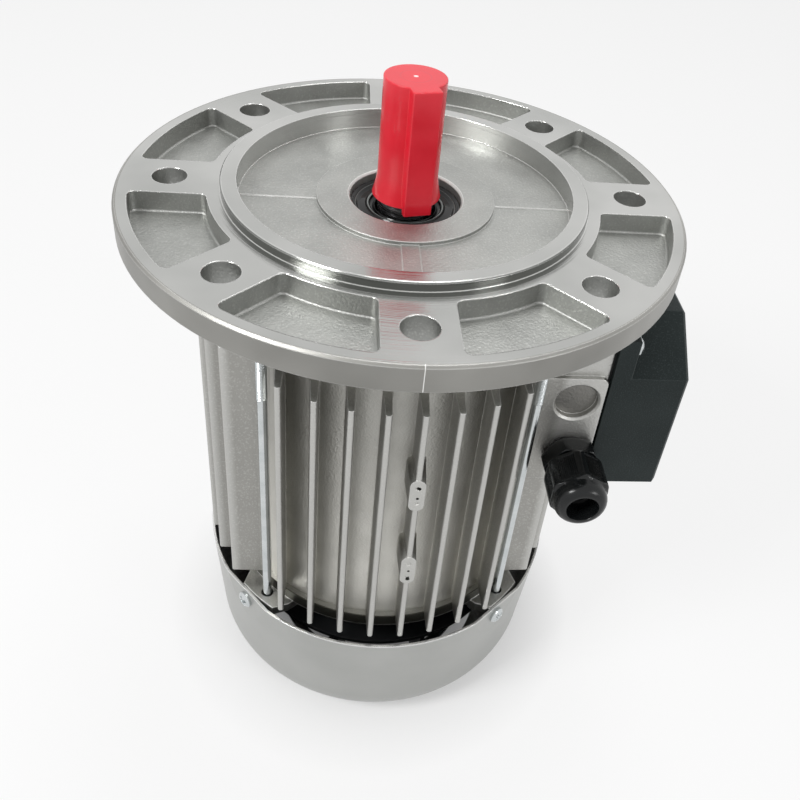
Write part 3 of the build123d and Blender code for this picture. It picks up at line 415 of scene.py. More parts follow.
def rounded(profile, radius, steps=3):
    """The profile with each corner drawn round: points start, corner and end, weighted (1 - t)^2, 2t(1 - t)
    and t^2, with start and end at most the radius away along the two sides."""
    profile = np.asarray(profile, float)
    corner = profile[1:-1]
    before = profile[:-2] - corner
    after = profile[2:] - corner
    reach_before = np.linalg.norm(before, axis=1, keepdims=True)
    reach_after = np.linalg.norm(after, axis=1, keepdims=True)
    near = np.minimum(radius, 0.45 * np.minimum(reach_before, reach_after))
    start = corner + before / reach_before * near
    end = corner + after / reach_after * near
    t = np.linspace(0, 1, steps + 1)[None, :, None]
    curve = (1 - t) ** 2 * start[:, None] + 2 * t * (1 - t) * corner[:, None] + t ** 2 * end[:, None]
    return np.concatenate([profile[:1], curve.reshape(-1, 2), profile[-1:]])


def skin(name, grids, ring=False, sharp=35.0):
    """Mesh of one or more (rows, columns, 3) grids in millimetres. Columns close round, and rows do if ring
    is set. Edges that bend by more than sharp degrees stay sharp."""
    points, faces, start = [], [], 0
    for grid in grids:
        rows, columns = grid.shape[:2]
        index = np.arange(rows * columns).reshape(rows, columns) + start
        next_row = np.roll(index, -1, 0) if ring else index[1:]
        this_row = index if ring else index[:-1]
        quads = np.stack([this_row, np.roll(this_row, -1, 1), np.roll(next_row, -1, 1), next_row], axis=-1)
        points.append(grid.reshape(-1, 3) * 0.001)
        faces.append(quads.reshape(-1, 4))
        start += rows * columns
    mesh = bpy.data.meshes.new(name)
    mesh.from_pydata(np.concatenate(points).tolist(), [], np.concatenate(faces).tolist())
    shell = bmesh.new()
    shell.from_mesh(mesh)
    bmesh.ops.remove_doubles(shell, verts=shell.verts, dist=1e-7)
    bmesh.ops.dissolve_degenerate(shell, edges=shell.edges, dist=1e-8)
    bmesh.ops.recalc_face_normals(shell, faces=shell.faces)
    shell.to_mesh(mesh)
    shell.free()
    mesh.polygons.foreach_set("use_smooth", np.ones(len(mesh.polygons), bool))
    mesh.set_sharp_from_angle(angle=radians(sharp))
    piece = bpy.data.objects.new(name, mesh)
    bpy.context.scene.collection.objects.link(piece)
    return piece


def finish_piece(piece, body, material, replaced):
    """Rides the piece on its body and puts it in place of the CAD node."""
    piece.data.materials.append(material)
    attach(piece, body)
    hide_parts(replaced)


seal_round = 0.35
seal_outline = [(10.9, -8.0), (10.1, -10.8), (12.3, -11.8), (12.7, -9.6), (17.5, -10.0), (17.5, -13.0),
                (20.0, -13.0), (20.0, -6.3), (19.2, -6.3), (18.7, -7.0), (18.0, -6.6), (17.0, -7.6),
                (14.4, -7.3), (13.9, -6.5), (13.3, -6.6), (12.9, -8.0), (11.9, -8.6), (11.2, -7.4),
                (10.9, -8.0)]
oil_seal = skin("oil_seal_rings", [lathe(rounded(seal_outline, seal_round), 128)], sharp=50)

# A ring is its middle radius and half its width.
lip_ring = (0.0135, 0.00028)
shell_ring = (0.0181, 0.0002)
lip_foot = -0.0071
rubber_tone = (0.005, 0.005, 0.005)
lip_highlight_tone = (0.20, 0.22, 0.21)
seal_rubber, tree, shader = plain_finish("oiled_black_rubber", rubber_tone, 0.1)
shader.inputs["Specular IOR Level"].default_value = 0.3
grain = use_group(tree, grain_group, Size=0.0012, Cloud_size=0.004)
tree.links.new(blend(tree, grain["Cloud"], 0.06, 0.18), shader.inputs["Roughness"])
rings = use_group(tree, lathe_group, Pitch=0.001)
# The lip's ring and the shell's ring are painted lighter grey above the lip's foot: a painted highlight on
# the glossy rubber.
shell = math_node(tree, "MULTIPLY", math_node(tree, "COMPARE", rings["Radius"], *shell_ring), 0.4)
highlight_rings = math_node(tree, "MAXIMUM", math_node(tree, "COMPARE", rings["Radius"], *lip_ring), shell)
lip_highlight = math_node(tree, "MULTIPLY", highlight_rings, math_node(tree, "GREATER_THAN", rings["Level"], lip_foot))
tree.links.new(blend(tree, lip_highlight, (*rubber_tone, 1), (*lip_highlight_tone, 1), "RGBA"), shader.inputs["Base Color"])
finish_normal(tree, shader, grain["Height"], 0.08, 0.0001)
finish_piece(oil_seal, "housing", seal_rubber, "oil_seal")

# Stator frame.
# One aluminium pressure casting: a tube with four groups of eight fins that thin outwards, and the seat of
# the terminal box. Only its two ends are machined. The tube's skin between the fins carries a painted shade,
# darker near the flange and paler to the rear.
frame_metal, tree, shader = cast_metal("frame_aluminium", (0.35, 0.345, 0.325), roughness=0.46,
                                       grain_size=0.0008, edge_radius=0.0005, contrast=0.08)

# A ramp is where it starts and where it is full, a hole is its place and radius, and a depth is its middle
# and half its width.
fin_root = (0.0675, 0.0645)
fin_tip = (0.0735, 0.0756)
tube_middle, tube_end = -0.05, -0.145
tube_shade_tones = ((0.40, 0.395, 0.37, 1), (0.70, 0.69, 0.645, 1))
tip_highlight_tone = (0.62, 0.62, 0.60, 1)
boss_face = -0.0745
boss_holes = ((0.0064, -0.0743, 0.0008), (0.0062, -0.0792, 0.00055),
              (0.0062, -0.1190, 0.0005), (0.0062, -0.1237, 0.0008))
hole_shade_tone = (0.02, 0.02, 0.018, 1)
knockout_place = (0.0655, -0.0610)
knockout_radius = 0.0079
knockout_depth = (-0.0435, 0.0016)
knockout_shade_tone = (0.24, 0.235, 0.22, 1)


def reach_from(tree, place, x, z):
    """Distance from a point in the X-Z plane: the root of the sum of the two squares."""
    off_x = math_node(tree, "SUBTRACT", place["X"], x)
    off_z = math_node(tree, "SUBTRACT", place["Z"], z)
    square = math_node(tree, "MULTIPLY_ADD", off_x, off_x, math_node(tree, "MULTIPLY", off_z, off_z))
    return math_node(tree, "SQRT", square)


rings = use_group(tree, lathe_group, Pitch=0.0004)
root = step_between(tree, rings["Radius"], *fin_root)
# The fin tips are painted paler: a painted highlight.
tip = math_node(tree, "MULTIPLY", step_between(tree, rings["Radius"], *fin_tip), 0.6)
skin_color = shader.inputs["Base Color"].links[0].from_socket
# The skin is painted darker near the flange and paler towards the rear: a painted shade.
tube_painted_shade = blend(tree, step_between(tree, rings["Level"], tube_middle, tube_end), *tube_shade_tones, "RGBA")
patchy = math_node(tree, "MULTIPLY", root, step_between(tree, noise(tree, 45.0, 2.0), -0.3, 0.45))
tip_highlighted = blend(tree, tip, blend(tree, patchy, skin_color, tube_painted_shade, "RGBA"), tip_highlight_tone, "RGBA")
split = tree.nodes.new("ShaderNodeSeparateXYZ")
tree.links.new(tree.nodes.new("ShaderNodeTexCoord").outputs["Object"], split.inputs[0])
# The four holes in the bosses are painted as near-black discs: a painted shade in the holes.
hole_discs = 0.0
for hole_x, hole_z, hole_radius in boss_holes:
    hole = math_node(tree, "LESS_THAN", reach_from(tree, split.outputs, hole_x, hole_z), hole_radius)
    hole_discs = math_node(tree, "MAXIMUM", hole_discs, hole)
hole_shade = math_node(tree, "MULTIPLY", hole_discs, math_node(tree, "LESS_THAN", split.outputs["Y"], boss_face))
# The knockout disc in the seat is painted darker: a painted shade in its recess.
disc = math_node(tree, "LESS_THAN", reach_from(tree, split.outputs, *knockout_place), knockout_radius)
knockout = math_node(tree, "MULTIPLY", disc, math_node(tree, "COMPARE", split.outputs["Y"], *knockout_depth))
knockout_shaded = blend(tree, knockout, tip_highlighted, knockout_shade_tone, "RGBA")
tree.links.new(blend(tree, hole_shade, knockout_shaded, hole_shade_tone, "RGBA"), shader.inputs["Base Color"])
dress(["stator_frame"], frame_metal)

# Stator core and winding.
# Stacked electrical sheets pressed into the frame, with coils of enamelled copper wire in their slots, tied
# and dipped in varnish.
sheet_tones = ((0.12, 0.12, 0.13, 1), (0.30, 0.31, 0.33, 1))
copper_tones = ((0.20, 0.05, 0.02, 1), (0.55, 0.19, 0.06, 1))
core_steel, tree, shader = plain_finish("stacked_sheets", (0.20, 0.21, 0.23), 0.5, 0.9)
sheets = tree.nodes.new("ShaderNodeTexWave")
sheets.bands_direction = "Z"
sheets.inputs["Scale"].default_value = 320.0
tree.links.new(tree.nodes.new("ShaderNodeTexCoord").outputs["Object"], sheets.inputs["Vector"])
tree.links.new(blend(tree, sheets.outputs["Fac"], *sheet_tones, "RGBA"), shader.inputs["Base Color"])
finish_normal(tree, shader, sheets.outputs["Fac"], 0.5, 0.0001)
dress(["stator_core", "rotor_core"], core_steel)
coil_copper, tree, shader = plain_finish("varnished_copper", (0.42, 0.13, 0.04), 0.32, 0.6)
strands = tree.nodes.new("ShaderNodeTexWave")
strands.wave_type = "RINGS"
strands.rings_direction = "Z"
strands.inputs["Scale"].default_value = 300.0
strands.inputs["Distortion"].default_value = 2.0
tree.links.new(tree.nodes.new("ShaderNodeTexCoord").outputs["Object"], strands.inputs["Vector"])
tree.links.new(blend(tree, strands.outputs["Fac"], *copper_tones, "RGBA"), shader.inputs["Base Color"])
finish_normal(tree, shader, strands.outputs["Fac"], 0.6, 0.0002)
dress(["stator_winding"], coil_copper)

# Rotor.
# A ground steel shaft with a key, a stack of sheets shrunk onto it and a cage of aluminium cast through and
# round the stack.
shaft_steel, tree, shader = plain_finish("ground_steel", (0.56, 0.56, 0.57), 0.25, 1.0)
rings = use_group(tree, lathe_group, Pitch=0.0002)
tree.links.new(blend(tree, rings["Height"], 0.16, 0.34), shader.inputs["Roughness"])
shaft_edge = use_group(tree, edge_group, Radius=0.0003)["Normal"]
finish_normal(tree, shader, rings["Height"], 0.12, 0.00005, shaft_edge)
dress(["rotor_shaft", "shaft_key"], shaft_steel)
cage_metal, _, _ = cast_metal("cage_aluminium", (0.5, 0.5, 0.5), roughness=0.4,
                              grain_size=0.0008, edge_radius=0.0004, contrast=0.1)
dress(["rotor_cage"], cage_metal)

# Ball bearings.
# Two single-row bearings of hardened steel, rings and balls polished, each with a pressed steel cage. The
# rear one is preloaded by a wavy spring washer.
bearing_steel, tree, shader = plain_finish("polished_bearing_steel", (0.66, 0.66, 0.67), 0.12, 1.0)
rings = use_group(tree, lathe_group, Pitch=0.00015)
tree.links.new(blend(tree, rings["Height"], 0.08, 0.2), shader.inputs["Roughness"])
dress([f"{end}_bearing_{part}" for end in ("drive", "rear")
       for part in ("inner_ring", "outer_ring", "balls", "cage")], bearing_steel)
spring_steel, tree, shader = plain_finish("blued_spring_steel", (0.16, 0.17, 0.2), 0.35, 1.0)
tree.links.new(blend(tree, noise(tree, 400.0), 0.25, 0.45), shader.inputs["Roughness"])
dress(["preload_washer", "fan_clip"], spring_steel)

# Rear end shield.
# A second aluminium casting that plugs the frame's rear, with four ears for the tie rods. It is cast rough
# and left unpainted, with a painted shade round its rim, and most of it stands in the cover's shade.
rim_radius = 0.0665
rim_foot = -0.1663
rim_shade_tone = (0.10, 0.10, 0.085, 1)
rear_metal, tree, shader = cast_metal("rear_shield_aluminium", (0.42, 0.42, 0.40), roughness=0.4,
                                      grain_size=0.0007, edge_radius=0.0005, contrast=0.09)
rings = use_group(tree, lathe_group, Pitch=0.0004)
# A band round the rim is painted almost black: a painted shade.
rim_shade_band = math_node(tree, "MULTIPLY", math_node(tree, "COMPARE", rings["Radius"], rim_radius, skin_depth),
                     math_node(tree, "GREATER_THAN", rings["Level"], rim_foot))
as_cast = shader.inputs["Base Color"].links[0].from_socket
tree.links.new(blend(tree, rim_shade_band, as_cast, rim_shade_tone, "RGBA"), shader.inputs["Base Color"])
dress(["rear_end_shield"], rear_metal)


# Tie rods and their nuts.
# Four long studs of zinc-plated steel. The thread is rolled, so the plain shank is thinner than the thread,
# and each rod ends under its ear in a washer and a hexagon nut.
def threaded_rod(spans, pitch, crest, root, shank, around=20):
    """Grid of a rod about Z: the radius is a rounded saw of (height / pitch - turn) inside the thread spans
    and the shank's radius between them. The shank ends a little inside its span."""
    shank_gap = 0.2
    levels, cuts = [], []
    for low, high, cut in spans:
        ends = np.array([low + shank_gap, high - shank_gap])
        levels.append(np.arange(low, high + 1e-6, pitch / 6) if cut else ends)
        cuts.append(np.full(len(levels[-1]), cut))
    levels, cuts = np.concatenate(levels)[:, None], np.concatenate(cuts)[:, None]
    turn = np.linspace(0, 2 * pi, around, endpoint=False)
    phase = (levels / pitch - turn[None, :] / (2 * pi)) % 1.0
    saw = np.clip(1.35 * (1 - np.abs(2 * phase - 1)) - 0.15, 0, 1)
    radius = np.where(cuts, root + (crest - root) * saw, shank)
    height = np.broadcast_to(levels, radius.shape)
    grid = np.stack([radius * np.cos(turn), radius * np.sin(turn), height], axis=-1)
    low_cap = grid[:1] * [0, 0, 1]
    high_cap = grid[-1:] * [0, 0, 1]
    return np.concatenate([low_cap, grid, high_cap])


rod_spans = [(-181.8, -172.6, True), (-172.4, -57.7, False), (-57.5, -14.0, True)]
rod_pitch = 0.7
rod_crest, rod_root, rod_shank = 2.0, 1.62, 1.75
rod_circle = 69.8
rod_turns = np.radians([45.0, 135.0, 226.2, 315.0])
rod_grid = threaded_rod(rod_spans, rod_pitch, rod_crest, rod_root, rod_shank)
rods = [rod_grid + [rod_circle * cos(a), rod_circle * sin(a), 0] for a in rod_turns]
tie_rods = skin("tie_rod_studs", rods, sharp=60)
zinc_tones = ((0.53, 0.56, 0.565, 1), (0.62, 0.645, 0.65, 1))
zinc, tree, shader = plain_finish("bright_zinc", (0.58, 0.61, 0.62), 0.22, 1.0)
grain = use_group(tree, grain_group, Size=0.0009, Cloud_size=0.006)
tree.links.new(blend(tree, grain["Cloud"], *zinc_tones, "RGBA"), shader.inputs["Base Color"])
tree.links.new(blend(tree, grain["Height"], 0.15, 0.25), shader.inputs["Roughness"])
zinc_edge = use_group(tree, edge_group, Radius=0.0002)["Normal"]
finish_normal(tree, shader, grain["Height"], 0.04, 0.00008, zinc_edge)
finish_piece(tie_rods, "housing", zinc, "tie_rods")
dress(["tie_rod_nuts"], zinc)

# Cooling fan.
# Moulded in black glass-filled nylon and pushed onto the shaft's rear end, where a spring clip holds it.
# Its straight blades work in either direction.
fan_nylon, tree, shader = plain_finish("black_fan_nylon", (0.010, 0.011, 0.012), 0.42)
grain = use_group(tree, grain_group, Size=0.0006, Cloud_size=0.01)
tree.links.new(blend(tree, grain["Cloud"], 0.34, 0.5), shader.inputs["Roughness"])
fan_edge = use_group(tree, edge_group, Radius=0.0005)["Normal"]
finish_normal(tree, shader, grain["Height"], 0.2, 0.0001, fan_edge)
dress(["cooling_fan"], fan_nylon)

# Fan cover.
# Deep-drawn from thin steel sheet and sprayed silver. Its rim carries a thin painted highlight, and flat
# places at the four screws keep it from turning.
rim_highlight_levels = (-0.1682, -0.1677)
paint_tones = ((0.39, 0.395, 0.38, 1), (0.45, 0.455, 0.44, 1))
rim_highlight_tone = (0.8, 0.8, 0.79, 1)
cover_paint, tree, shader = plain_finish("silver_paint", (0.42, 0.425, 0.41), 0.34, 0.7)
grain = use_group(tree, grain_group, Size=0.0005, Cloud_size=0.03)
edge = use_group(tree, edge_group, Radius=0.0005)
# A thin band at the rim is painted near white: a painted highlight.
rim_highlight = step_between(tree, use_group(tree, lathe_group, Pitch=0.001)["Level"], *rim_highlight_levels)
cloudy = blend(tree, grain["Cloud"], *paint_tones, "RGBA")
tree.links.new(blend(tree, rim_highlight, cloudy, rim_highlight_tone, "RGBA"), shader.inputs["Base Color"])
rough = blend(tree, grain["Cloud"], 0.32, 0.40)
tree.links.new(blend(tree, rim_highlight, rough, 0.2), shader.inputs["Roughness"])
finish_normal(tree, shader, grain["Height"], 0.14, 0.0001, edge["Normal"])
dress(["fan_cover"], cover_paint)


# Fan cover screws.
# Four zinc-plated pan-head screws with a cross recess, driven through the sheet into the shield's ears.
def pan_screw(head, height, shank, length, around=96):
    """Grid of a screw about Z with its seat at 0: a domed head whose height falls with the cube of the
    radius, less a cross-shaped recess, and a plain shank below."""
    r = (head * np.linspace(0, 1, 22) ** 0.8)[:, None]
    turn = np.linspace(0, 2 * pi, around, endpoint=False)
    x, y = r * np.cos(turn), r * np.sin(turn)
    dome = height * (0.45 + 0.55 * (1 - (r / head) ** 3.0))

    def arm(along, across):
        """1 inside one arm of the recess and 0 outside, with a steep ramp at its sides and a gentler one at
        its ends."""
        sides = np.clip((0.17 * head - np.abs(across)) / 0.16 + 0.5, 0, 1)
        return sides * np.clip((0.6 * head - np.abs(along)) / 0.35 + 0.5, 0, 1)

    z = dome - 0.62 * height * np.maximum(arm(x, y), arm(y, x))
    top = np.stack([x, y, z], axis=-1)
    side = [(head, 0.25 * height), (head * 0.97, 0.0), (shank, 0.0), (shank, -length), (0.0, -length)]
    return np.concatenate([top, lathe(side, around)])


def stand(grid, place, out, up=(0, 0, 1)):
    """The grid turned so that its Z axis points along out, and moved to place: grid times a 3 x 3 frame."""
    out = np.asarray(out, float)
    side = np.cross(up, out)
    side = side / np.linalg.norm(side)
    return grid @ np.stack([side, np.cross(out, side), out]) + np.asarray(place, float)


cover_screw = pan_screw(head=3.6, height=2.4, shank=2.0, length=9.0)
screw_seat = 75.3
screw_level = -173.0
screw_turns = np.radians([40.5, 130.5, 220.5, 310.5])
cross_side, cross_up = 0.5, 0.8
cover_screws = skin("cover_pan_screws", [
    stand(cover_screw, (screw_seat * cos(a), screw_seat * sin(a), screw_level), (cos(a), sin(a), 0),
          (sin(a) * cross_side, -cos(a) * cross_side, cross_up)) for a in screw_turns], sharp=30)
finish_piece(cover_screws, "housing", zinc, "fan_cover_screws")

# Terminal board.
# A brown moulded board with six brass studs, their nuts and three links, screwed into the seat, with the
# brass earth screw beside it.
board_resin, tree, shader = plain_finish("brown_board_resin", (0.09, 0.035, 0.018), 0.4)
tree.links.new(blend(tree, noise(tree, 900.0), 0.32, 0.5), shader.inputs["Roughness"])
finish_normal(tree, shader, noise(tree, 1400.0), 0.15, 0.0001)
dress(["terminal_board"], board_resin)
brass, tree, shader = plain_finish("turned_brass", (0.68, 0.44, 0.16), 0.26, 1.0)
tree.links.new(blend(tree, noise(tree, 700.0), 0.2, 0.36), shader.inputs["Roughness"])
brass_edge = use_group(tree, edge_group, Radius=0.0002)["Normal"]
finish_normal(tree, shader, noise(tree, 2500.0), 0.1, 0.00005, brass_edge)
dress(["terminal_studs", "terminal_nuts", "terminal_links", "earth_screw"], brass)

# Terminal box lid.
# Moulded in dark grey glass-filled plastic with a fine spark-eroded texture, a wide plate for its screws and
# two cut corners. A soft gasket seals it.
lid_tones = ((0.019, 0.026, 0.026, 1), (0.026, 0.034, 0.034, 1))
lid_speck = (0.08, 0.10, 0.10, 1)
lid_edge = (0.11, 0.13, 0.13, 1)
lid_plastic, tree, shader = plain_finish("textured_lid_plastic", (0.020, 0.026, 0.026), 0.5)
shader.inputs["Specular IOR Level"].default_value = 0.12
grain = use_group(tree, grain_group, Size=0.0005, Cloud_size=0.02)
edge = use_group(tree, edge_group, Radius=0.0006)
tone = blend(tree, grain["Cloud"], *lid_tones, "RGBA")
gritty = blend(tree, math_node(tree, "MULTIPLY", grain["Speck"], 0.3), tone, lid_speck, "RGBA")
wear_and_highlight = blend(tree, math_node(tree, "MULTIPLY", edge["Edge"], 0.6), gritty, lid_edge, "RGBA")
tree.links.new(wear_and_highlight, shader.inputs["Base Color"])
tree.links.new(blend(tree, grain["Height"], 0.34, 0.5), shader.inputs["Roughness"])
finish_normal(tree, shader, grain["Height"], 0.35, 0.0001, edge["Normal"])
dress(["terminal_box_lid"], lid_plastic)
gasket_rubber, tree, shader = plain_finish("soft_gasket_rubber", (0.013, 0.013, 0.013), 0.6)
finish_normal(tree, shader, noise(tree, 900.0), 0.3, 0.0001)
dress(["lid_gasket", "gland_seal", "gland_washer"], gasket_rubber)

# Lid screws.
# Four of the same zinc-plated pan-head screws, larger, one in each corner of the lid's plate.
lid_screw = pan_screw(head=3.9, height=3.4, shank=1.55, length=12.4)
lid_plate = 83.5
lid_screw_places = [(lid_plate, y, z) for y in (-39.0, 39.0) for z in (-38.0, -96.5)]
lid_cross = (0, 0.34, 0.94)
lid_screws = skin("lid_pan_screws", [stand(lid_screw, place, (1, 0, 0), lid_cross)
                                     for place in lid_screw_places], sharp=30)
finish_piece(lid_screws, "housing", zinc, "lid_screws")


# Cable gland's body.
# Moulded in black nylon: a hexagon with chamfered corners, a thread into the box and a hollow neck that
# carries the nut. A row of its outline is radius, distance out, and 1 where the hexagon shows.
def hexagon_radius(turn, flats, normal):
    """Distance to a hexagon's side: half its width over flats divided by the cosine of the angle from the
    nearest side's normal."""
    return flats / 2 / np.cos((turn - radians(normal) + pi / 6) % (pi / 3) - pi / 6)


def gland_grid(rows, turn, radius_of):
    """Grid on the gland's axis: each row has a distance out from the pad, and radius_of gives its radii."""
    axis_x, pad_y, axis_z = 67.2, -45.0, -87.6
    radius, reach = radius_of(np.asarray(rows, float), turn)
    out = np.broadcast_to(pad_y - reach[:, None], radius.shape)
    return np.stack([axis_x + radius * np.cos(turn), out, axis_z + radius * np.sin(turn)], axis=-1)


def hexagon_rows(rows, turn, flats, normal):
    """Each row's radius and its distance out. Where the row is marked 1, the radius is the smaller of its own
    and the hexagon's, by their power mean of -60, which leaves no hard line between the two."""
    limit = rows[:, 0:1] * np.ones_like(turn)
    six = (limit ** -60.0 + hexagon_radius(turn, flats, normal)[None, :] ** -60.0) ** (-1 / 60)
    return np.where(rows[:, 2:3] > 0.5, six, limit), rows[:, 1]


def side_turns(normal, steps, corner):
    """Angles round a hexagon: evenly spaced across each side, and three close together at each corner."""
    side = np.linspace(-30 + corner, 30 - corner, steps)
    one = np.concatenate([side, [30 - corner / 2, 30, 30 + corner / 2]])
    return np.sort(np.radians(normal + one[None, :] + np.arange(0, 360, 60)[:, None]).ravel() % (2 * pi))


body_flats = 20.0
body_normal = 23.4
bore_radius, thread_radius, neck_radius = 6.6, 7.95, 8.6
body_rows = [(bore_radius, -7.5, 0), (thread_radius, -7.5, 0), (thread_radius, 1.2, 0),
             (10.2, 1.2, 1), (10.9, 1.7, 1), (11.5, 2.5, 1), (11.55, 3.4, 1),
             (11.55, 7.5, 1), (11.3, 7.95, 1), (10.9, 8.2, 1),
             (neck_radius, 8.2, 0), (neck_radius, 18.2, 0), (bore_radius, 18.2, 0)]
body_grid = gland_grid(body_rows, side_turns(body_normal, 9, 1.2),
                       lambda rows, turn: hexagon_rows(rows, turn, body_flats, body_normal))
gland_body = skin("gland_hexagon", [body_grid], ring=True, sharp=25)
nylon_tone = (0.006, 0.007, 0.0075)
nylon_edge_highlight = (0.05, 0.055, 0.055)
gland_nylon, tree, shader = plain_finish("black_gland_nylon", nylon_tone, 0.24)
shader.inputs["Specular IOR Level"].default_value = 0.35
edge = use_group(tree, edge_group, Radius=0.00015)
# The nylon's edges are painted lighter grey: a painted highlight.
wear_and_highlight = math_node(tree, "MULTIPLY", edge["Edge"], 0.6)
tree.links.new(blend(tree, wear_and_highlight, (*nylon_tone, 1), (*nylon_edge_highlight, 1), "RGBA"), shader.inputs["Base Color"])
grain = use_group(tree, grain_group, Size=0.0008, Cloud_size=0.006)
tree.links.new(blend(tree, grain["Cloud"], 0.18, 0.30), shader.inputs["Roughness"])
finish_normal(tree, shader, grain["Height"], 0.1, 0.0001, edge["Normal"])
finish_piece(gland_body, "housing", gland_nylon, "gland_body")

# Cable gland's nut.
# Moulded in the same nylon: six ribbed sides to grip, a step and a rounded end with the cable's mouth. It
# screws along the neck and squeezes the rubber bush. A row is radius, distance out, hexagon and ribbed.
nut_flats = 20.6
nut_normal = 59.0
rib_half_width, rib_depth, rib_pitch = 3.5, 0.42, 0.72


def nut_radius(rows, turn):
    """The hexagon within the row's radius, less a cosine of the distance along each side where the row is
    ribbed."""
    limit, reach = hexagon_rows(rows, turn, nut_flats, nut_normal)
    slant = (turn - radians(nut_normal) + pi / 6) % (pi / 3) - pi / 6
    along = nut_flats / 2 * np.tan(slant)
    ribbed = np.clip((rib_half_width - np.abs(along)) / 0.15, 0, 1) * (rows[:, 3:4] > 0.5)
    return limit - rib_depth * ribbed * (0.5 - 0.5 * np.cos(2 * pi * along / rib_pitch)), reach


thread_hole, mouth_radius = 8.9, 5.9
dome_flat, dome_round, dome_height, dome_top = 6.4, 3.6, 4.7, 28.0
arc = np.linspace(0, pi / 2, 9)
dome_rows = [(dome_flat + dome_round * sin(t), dome_top - dome_height * (1 - cos(t)), 0, 0)
             for t in arc[::-1]]
nut_rows = [(thread_hole, 8.8, 0, 0), (11.1, 8.8, 1, 0), (11.4, 9.2, 1, 0), (11.5, 9.8, 1, 0),
            (11.5, 10.2, 1, 1), (11.5, 14.0, 1, 1), (11.5, 18.0, 1, 1), (11.5, 20.6, 1, 1),
            (11.5, 21.0, 1, 0), (11.4, 21.5, 1, 0), (10.9, 21.9, 1, 0), (10.15, 22.3, 0, 0), *dome_rows,
            (6.1, 27.95, 0, 0), (mouth_radius, 27.6, 0, 0), (mouth_radius, 20.0, 0, 0),
            (thread_hole, 20.0, 0, 0)]
nut_grid = gland_grid(nut_rows, side_turns(nut_normal, 112, 2.0), nut_radius)
gland_nut = skin("gland_dome_nut", [nut_grid], ring=True, sharp=40)
finish_piece(gland_nut, "clamping_nut", gland_nylon, "gland_nut")

# Transport sleeve.
# Soft red plastic, injection-moulded through a gate in the middle of its top, and pushed over the shaft. Its
# mouth flares, and a hollow rib covers the key. It slides off by hand.
rib_turn = radians(-75.6)


def sleeve_section(turn, radius, rib_reach, rib_half):
    """Smooth union of a circle and a square-cornered rib. The rib's radius is the power mean of -50 of
    reach / cos and half / sin of the angle from its middle, and the union is the power mean of 90 of both."""
    slant = (turn - rib_turn + pi) % (2 * pi) - pi
    forward = np.clip(np.cos(slant), 1e-6, None)
    rib = ((forward / rib_reach) ** 50 + (np.abs(np.sin(slant)) / rib_half) ** 50) ** (-1 / 50)
    rib = np.where(np.abs(slant) < 1.2, rib, 0.1)
    return (radius ** 90 + rib ** 90) ** (1 / 90), rib


wall_radius, rib_reach, rib_half = 10.78, 13.8, 5.0
hollow_radius, hollow_reach, hollow_half = 9.58, 12.4, 3.8
sleeve_top, hollow_top, sleeve_foot = 41.2, 40.1, -2.0
flare_start, flare_length, flare_width = 7.0, 9.0, 1.5
rib_drop = 1.8

# Columns are close together at the rib's two sides, and rows at the rounded top edge and down the mouth.
even = np.linspace(0, 2 * pi, 200, endpoint=False)
sides = np.concatenate([np.linspace(-0.56, -0.30, 90), np.linspace(0.30, 0.56, 90)])
sleeve_turn = np.sort(np.concatenate([even, rib_turn % (2 * pi) + sides]))
top_edge = np.array([(0.0, 0.40), (0.06, 0.18), (0.2, 0.05), (0.4, 0.0)])
levels = np.concatenate([sleeve_top - top_edge[:, 0], np.linspace(40.0, 8.0, 9),
                         np.linspace(flare_start, sleeve_foot, 10)])[:, None]
inset = np.concatenate([top_edge[:, 1], np.zeros(len(levels) - len(top_edge))])[:, None]

# Outside: the wall widens below the flare's start by a power of the depth, and the rib's foot hangs lower.
flare = np.clip((flare_start - levels) / flare_length, 0, 1) ** 1.6 * flare_width
outer, rib_edge = sleeve_section(sleeve_turn[None, :], wall_radius - inset + flare, rib_reach - inset,
                                 rib_half - inset)
height = levels * np.ones_like(outer)
is_rib = np.clip((rib_edge - (wall_radius + flare) + 0.15) / 0.3, 0, 1)
foot = np.broadcast_to(outer[-1], (3, outer.shape[1]))
foot_height = sleeve_foot - np.linspace(0, 1, 4)[1:, None] * rib_drop * is_rib[-1]

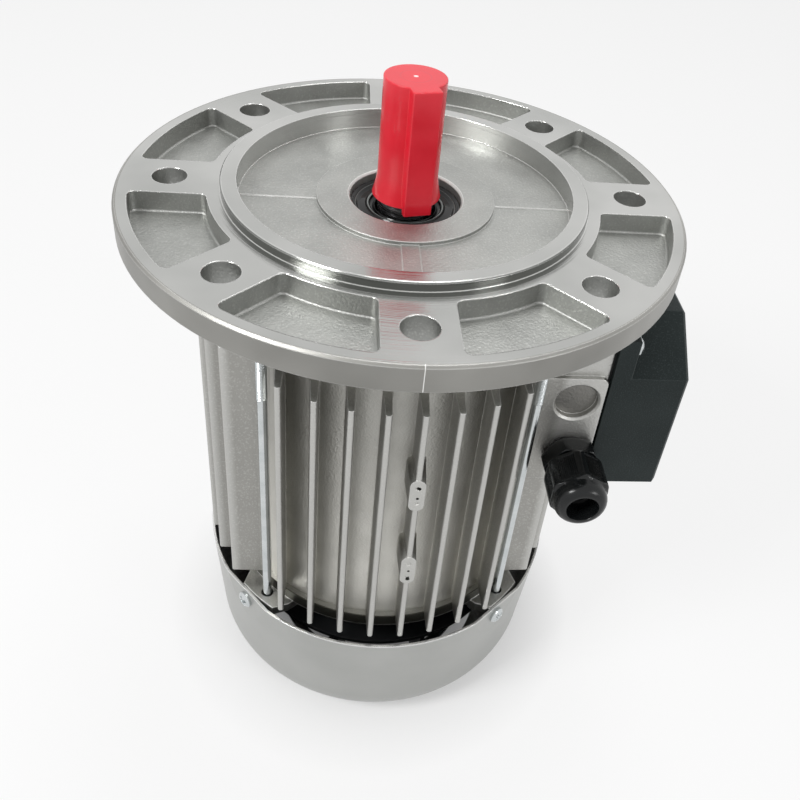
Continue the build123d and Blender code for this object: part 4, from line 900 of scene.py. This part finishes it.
# Inside: the hollow follows the shaft and the key, and widens at the mouth as the wall does.
inner_radius = hollow_radius + np.array([[flare_width], [0.0], [0.0]])
inner, _ = sleeve_section(sleeve_turn[None, :], inner_radius, np.full((3, 1), hollow_reach),
                          np.full((3, 1), hollow_half))
inner_height = np.array([[sleeve_foot], [flare_start], [hollow_top]]) * np.ones_like(inner)
inner_height[0] = foot_height[-1]
top = outer[:1] * np.array([0.0, 0.3, 0.62, 0.85, 0.97])[:, None]
bottom = inner[-1:] * np.array([0.5, 0.0])[:, None]
all_radius = np.concatenate([top, outer, foot, inner, bottom])
all_height = np.concatenate([np.full(top.shape, sleeve_top), height, foot_height, inner_height,
                             np.full(bottom.shape, hollow_top)])
sleeve_grid = np.stack([all_radius * np.cos(sleeve_turn), all_radius * np.sin(sleeve_turn), all_height], -1)
sleeve = skin("red_shaft_sleeve", [sleeve_grid], sharp=30)
red_tones = ((0.74, 0.018, 0.034, 1), (0.82, 0.024, 0.044, 1))
red_edge_highlight = (0.95, 0.22, 0.25, 1)
gate_tone = (1.0, 0.75, 0.75, 1)
ring_tone = (0.70, 0.03, 0.05, 1)
gate_level = 0.0411
gate_radius = 0.0008
gate_circle = (0.0052, 0.0003)
red_plastic, tree, shader = plain_finish("soft_red_plastic", (0.78, 0.020, 0.038), 0.22)
shader.inputs["Specular IOR Level"].default_value = 0.4
shader.inputs["Subsurface Weight"].default_value = 0.1
shader.inputs["Subsurface Radius"].default_value = (0.004, 0.0006, 0.0006)
rings = use_group(tree, lathe_group, Pitch=0.004)
on_top = math_node(tree, "GREATER_THAN", rings["Level"], gate_level)
gate = math_node(tree, "MULTIPLY", on_top, math_node(tree, "LESS_THAN", rings["Radius"], gate_radius))
gate_ring = math_node(tree, "MULTIPLY", on_top, math_node(tree, "COMPARE", rings["Radius"], *gate_circle))
edge = use_group(tree, edge_group, Radius=0.0004)
grain = use_group(tree, grain_group, Size=0.0015, Cloud_size=0.012)
body_red = blend(tree, grain["Cloud"], *red_tones, "RGBA")
# The sleeve's edges are painted pale pink: a painted highlight.
edge_highlighted = blend(tree, math_node(tree, "MULTIPLY", edge["Edge"], 0.5), body_red, red_edge_highlight, "RGBA")
ringed = blend(tree, math_node(tree, "MULTIPLY", gate_ring, 0.6), edge_highlighted, ring_tone, "RGBA")
tree.links.new(blend(tree, gate, ringed, gate_tone, "RGBA"), shader.inputs["Base Color"])
tree.links.new(blend(tree, grain["Cloud"], 0.14, 0.24), shader.inputs["Roughness"])
finish_normal(tree, shader, grain["Height"], 0.06, 0.0001, edge["Normal"])
finish_piece(sleeve, "sleeve", red_plastic, "shaft_sleeve")
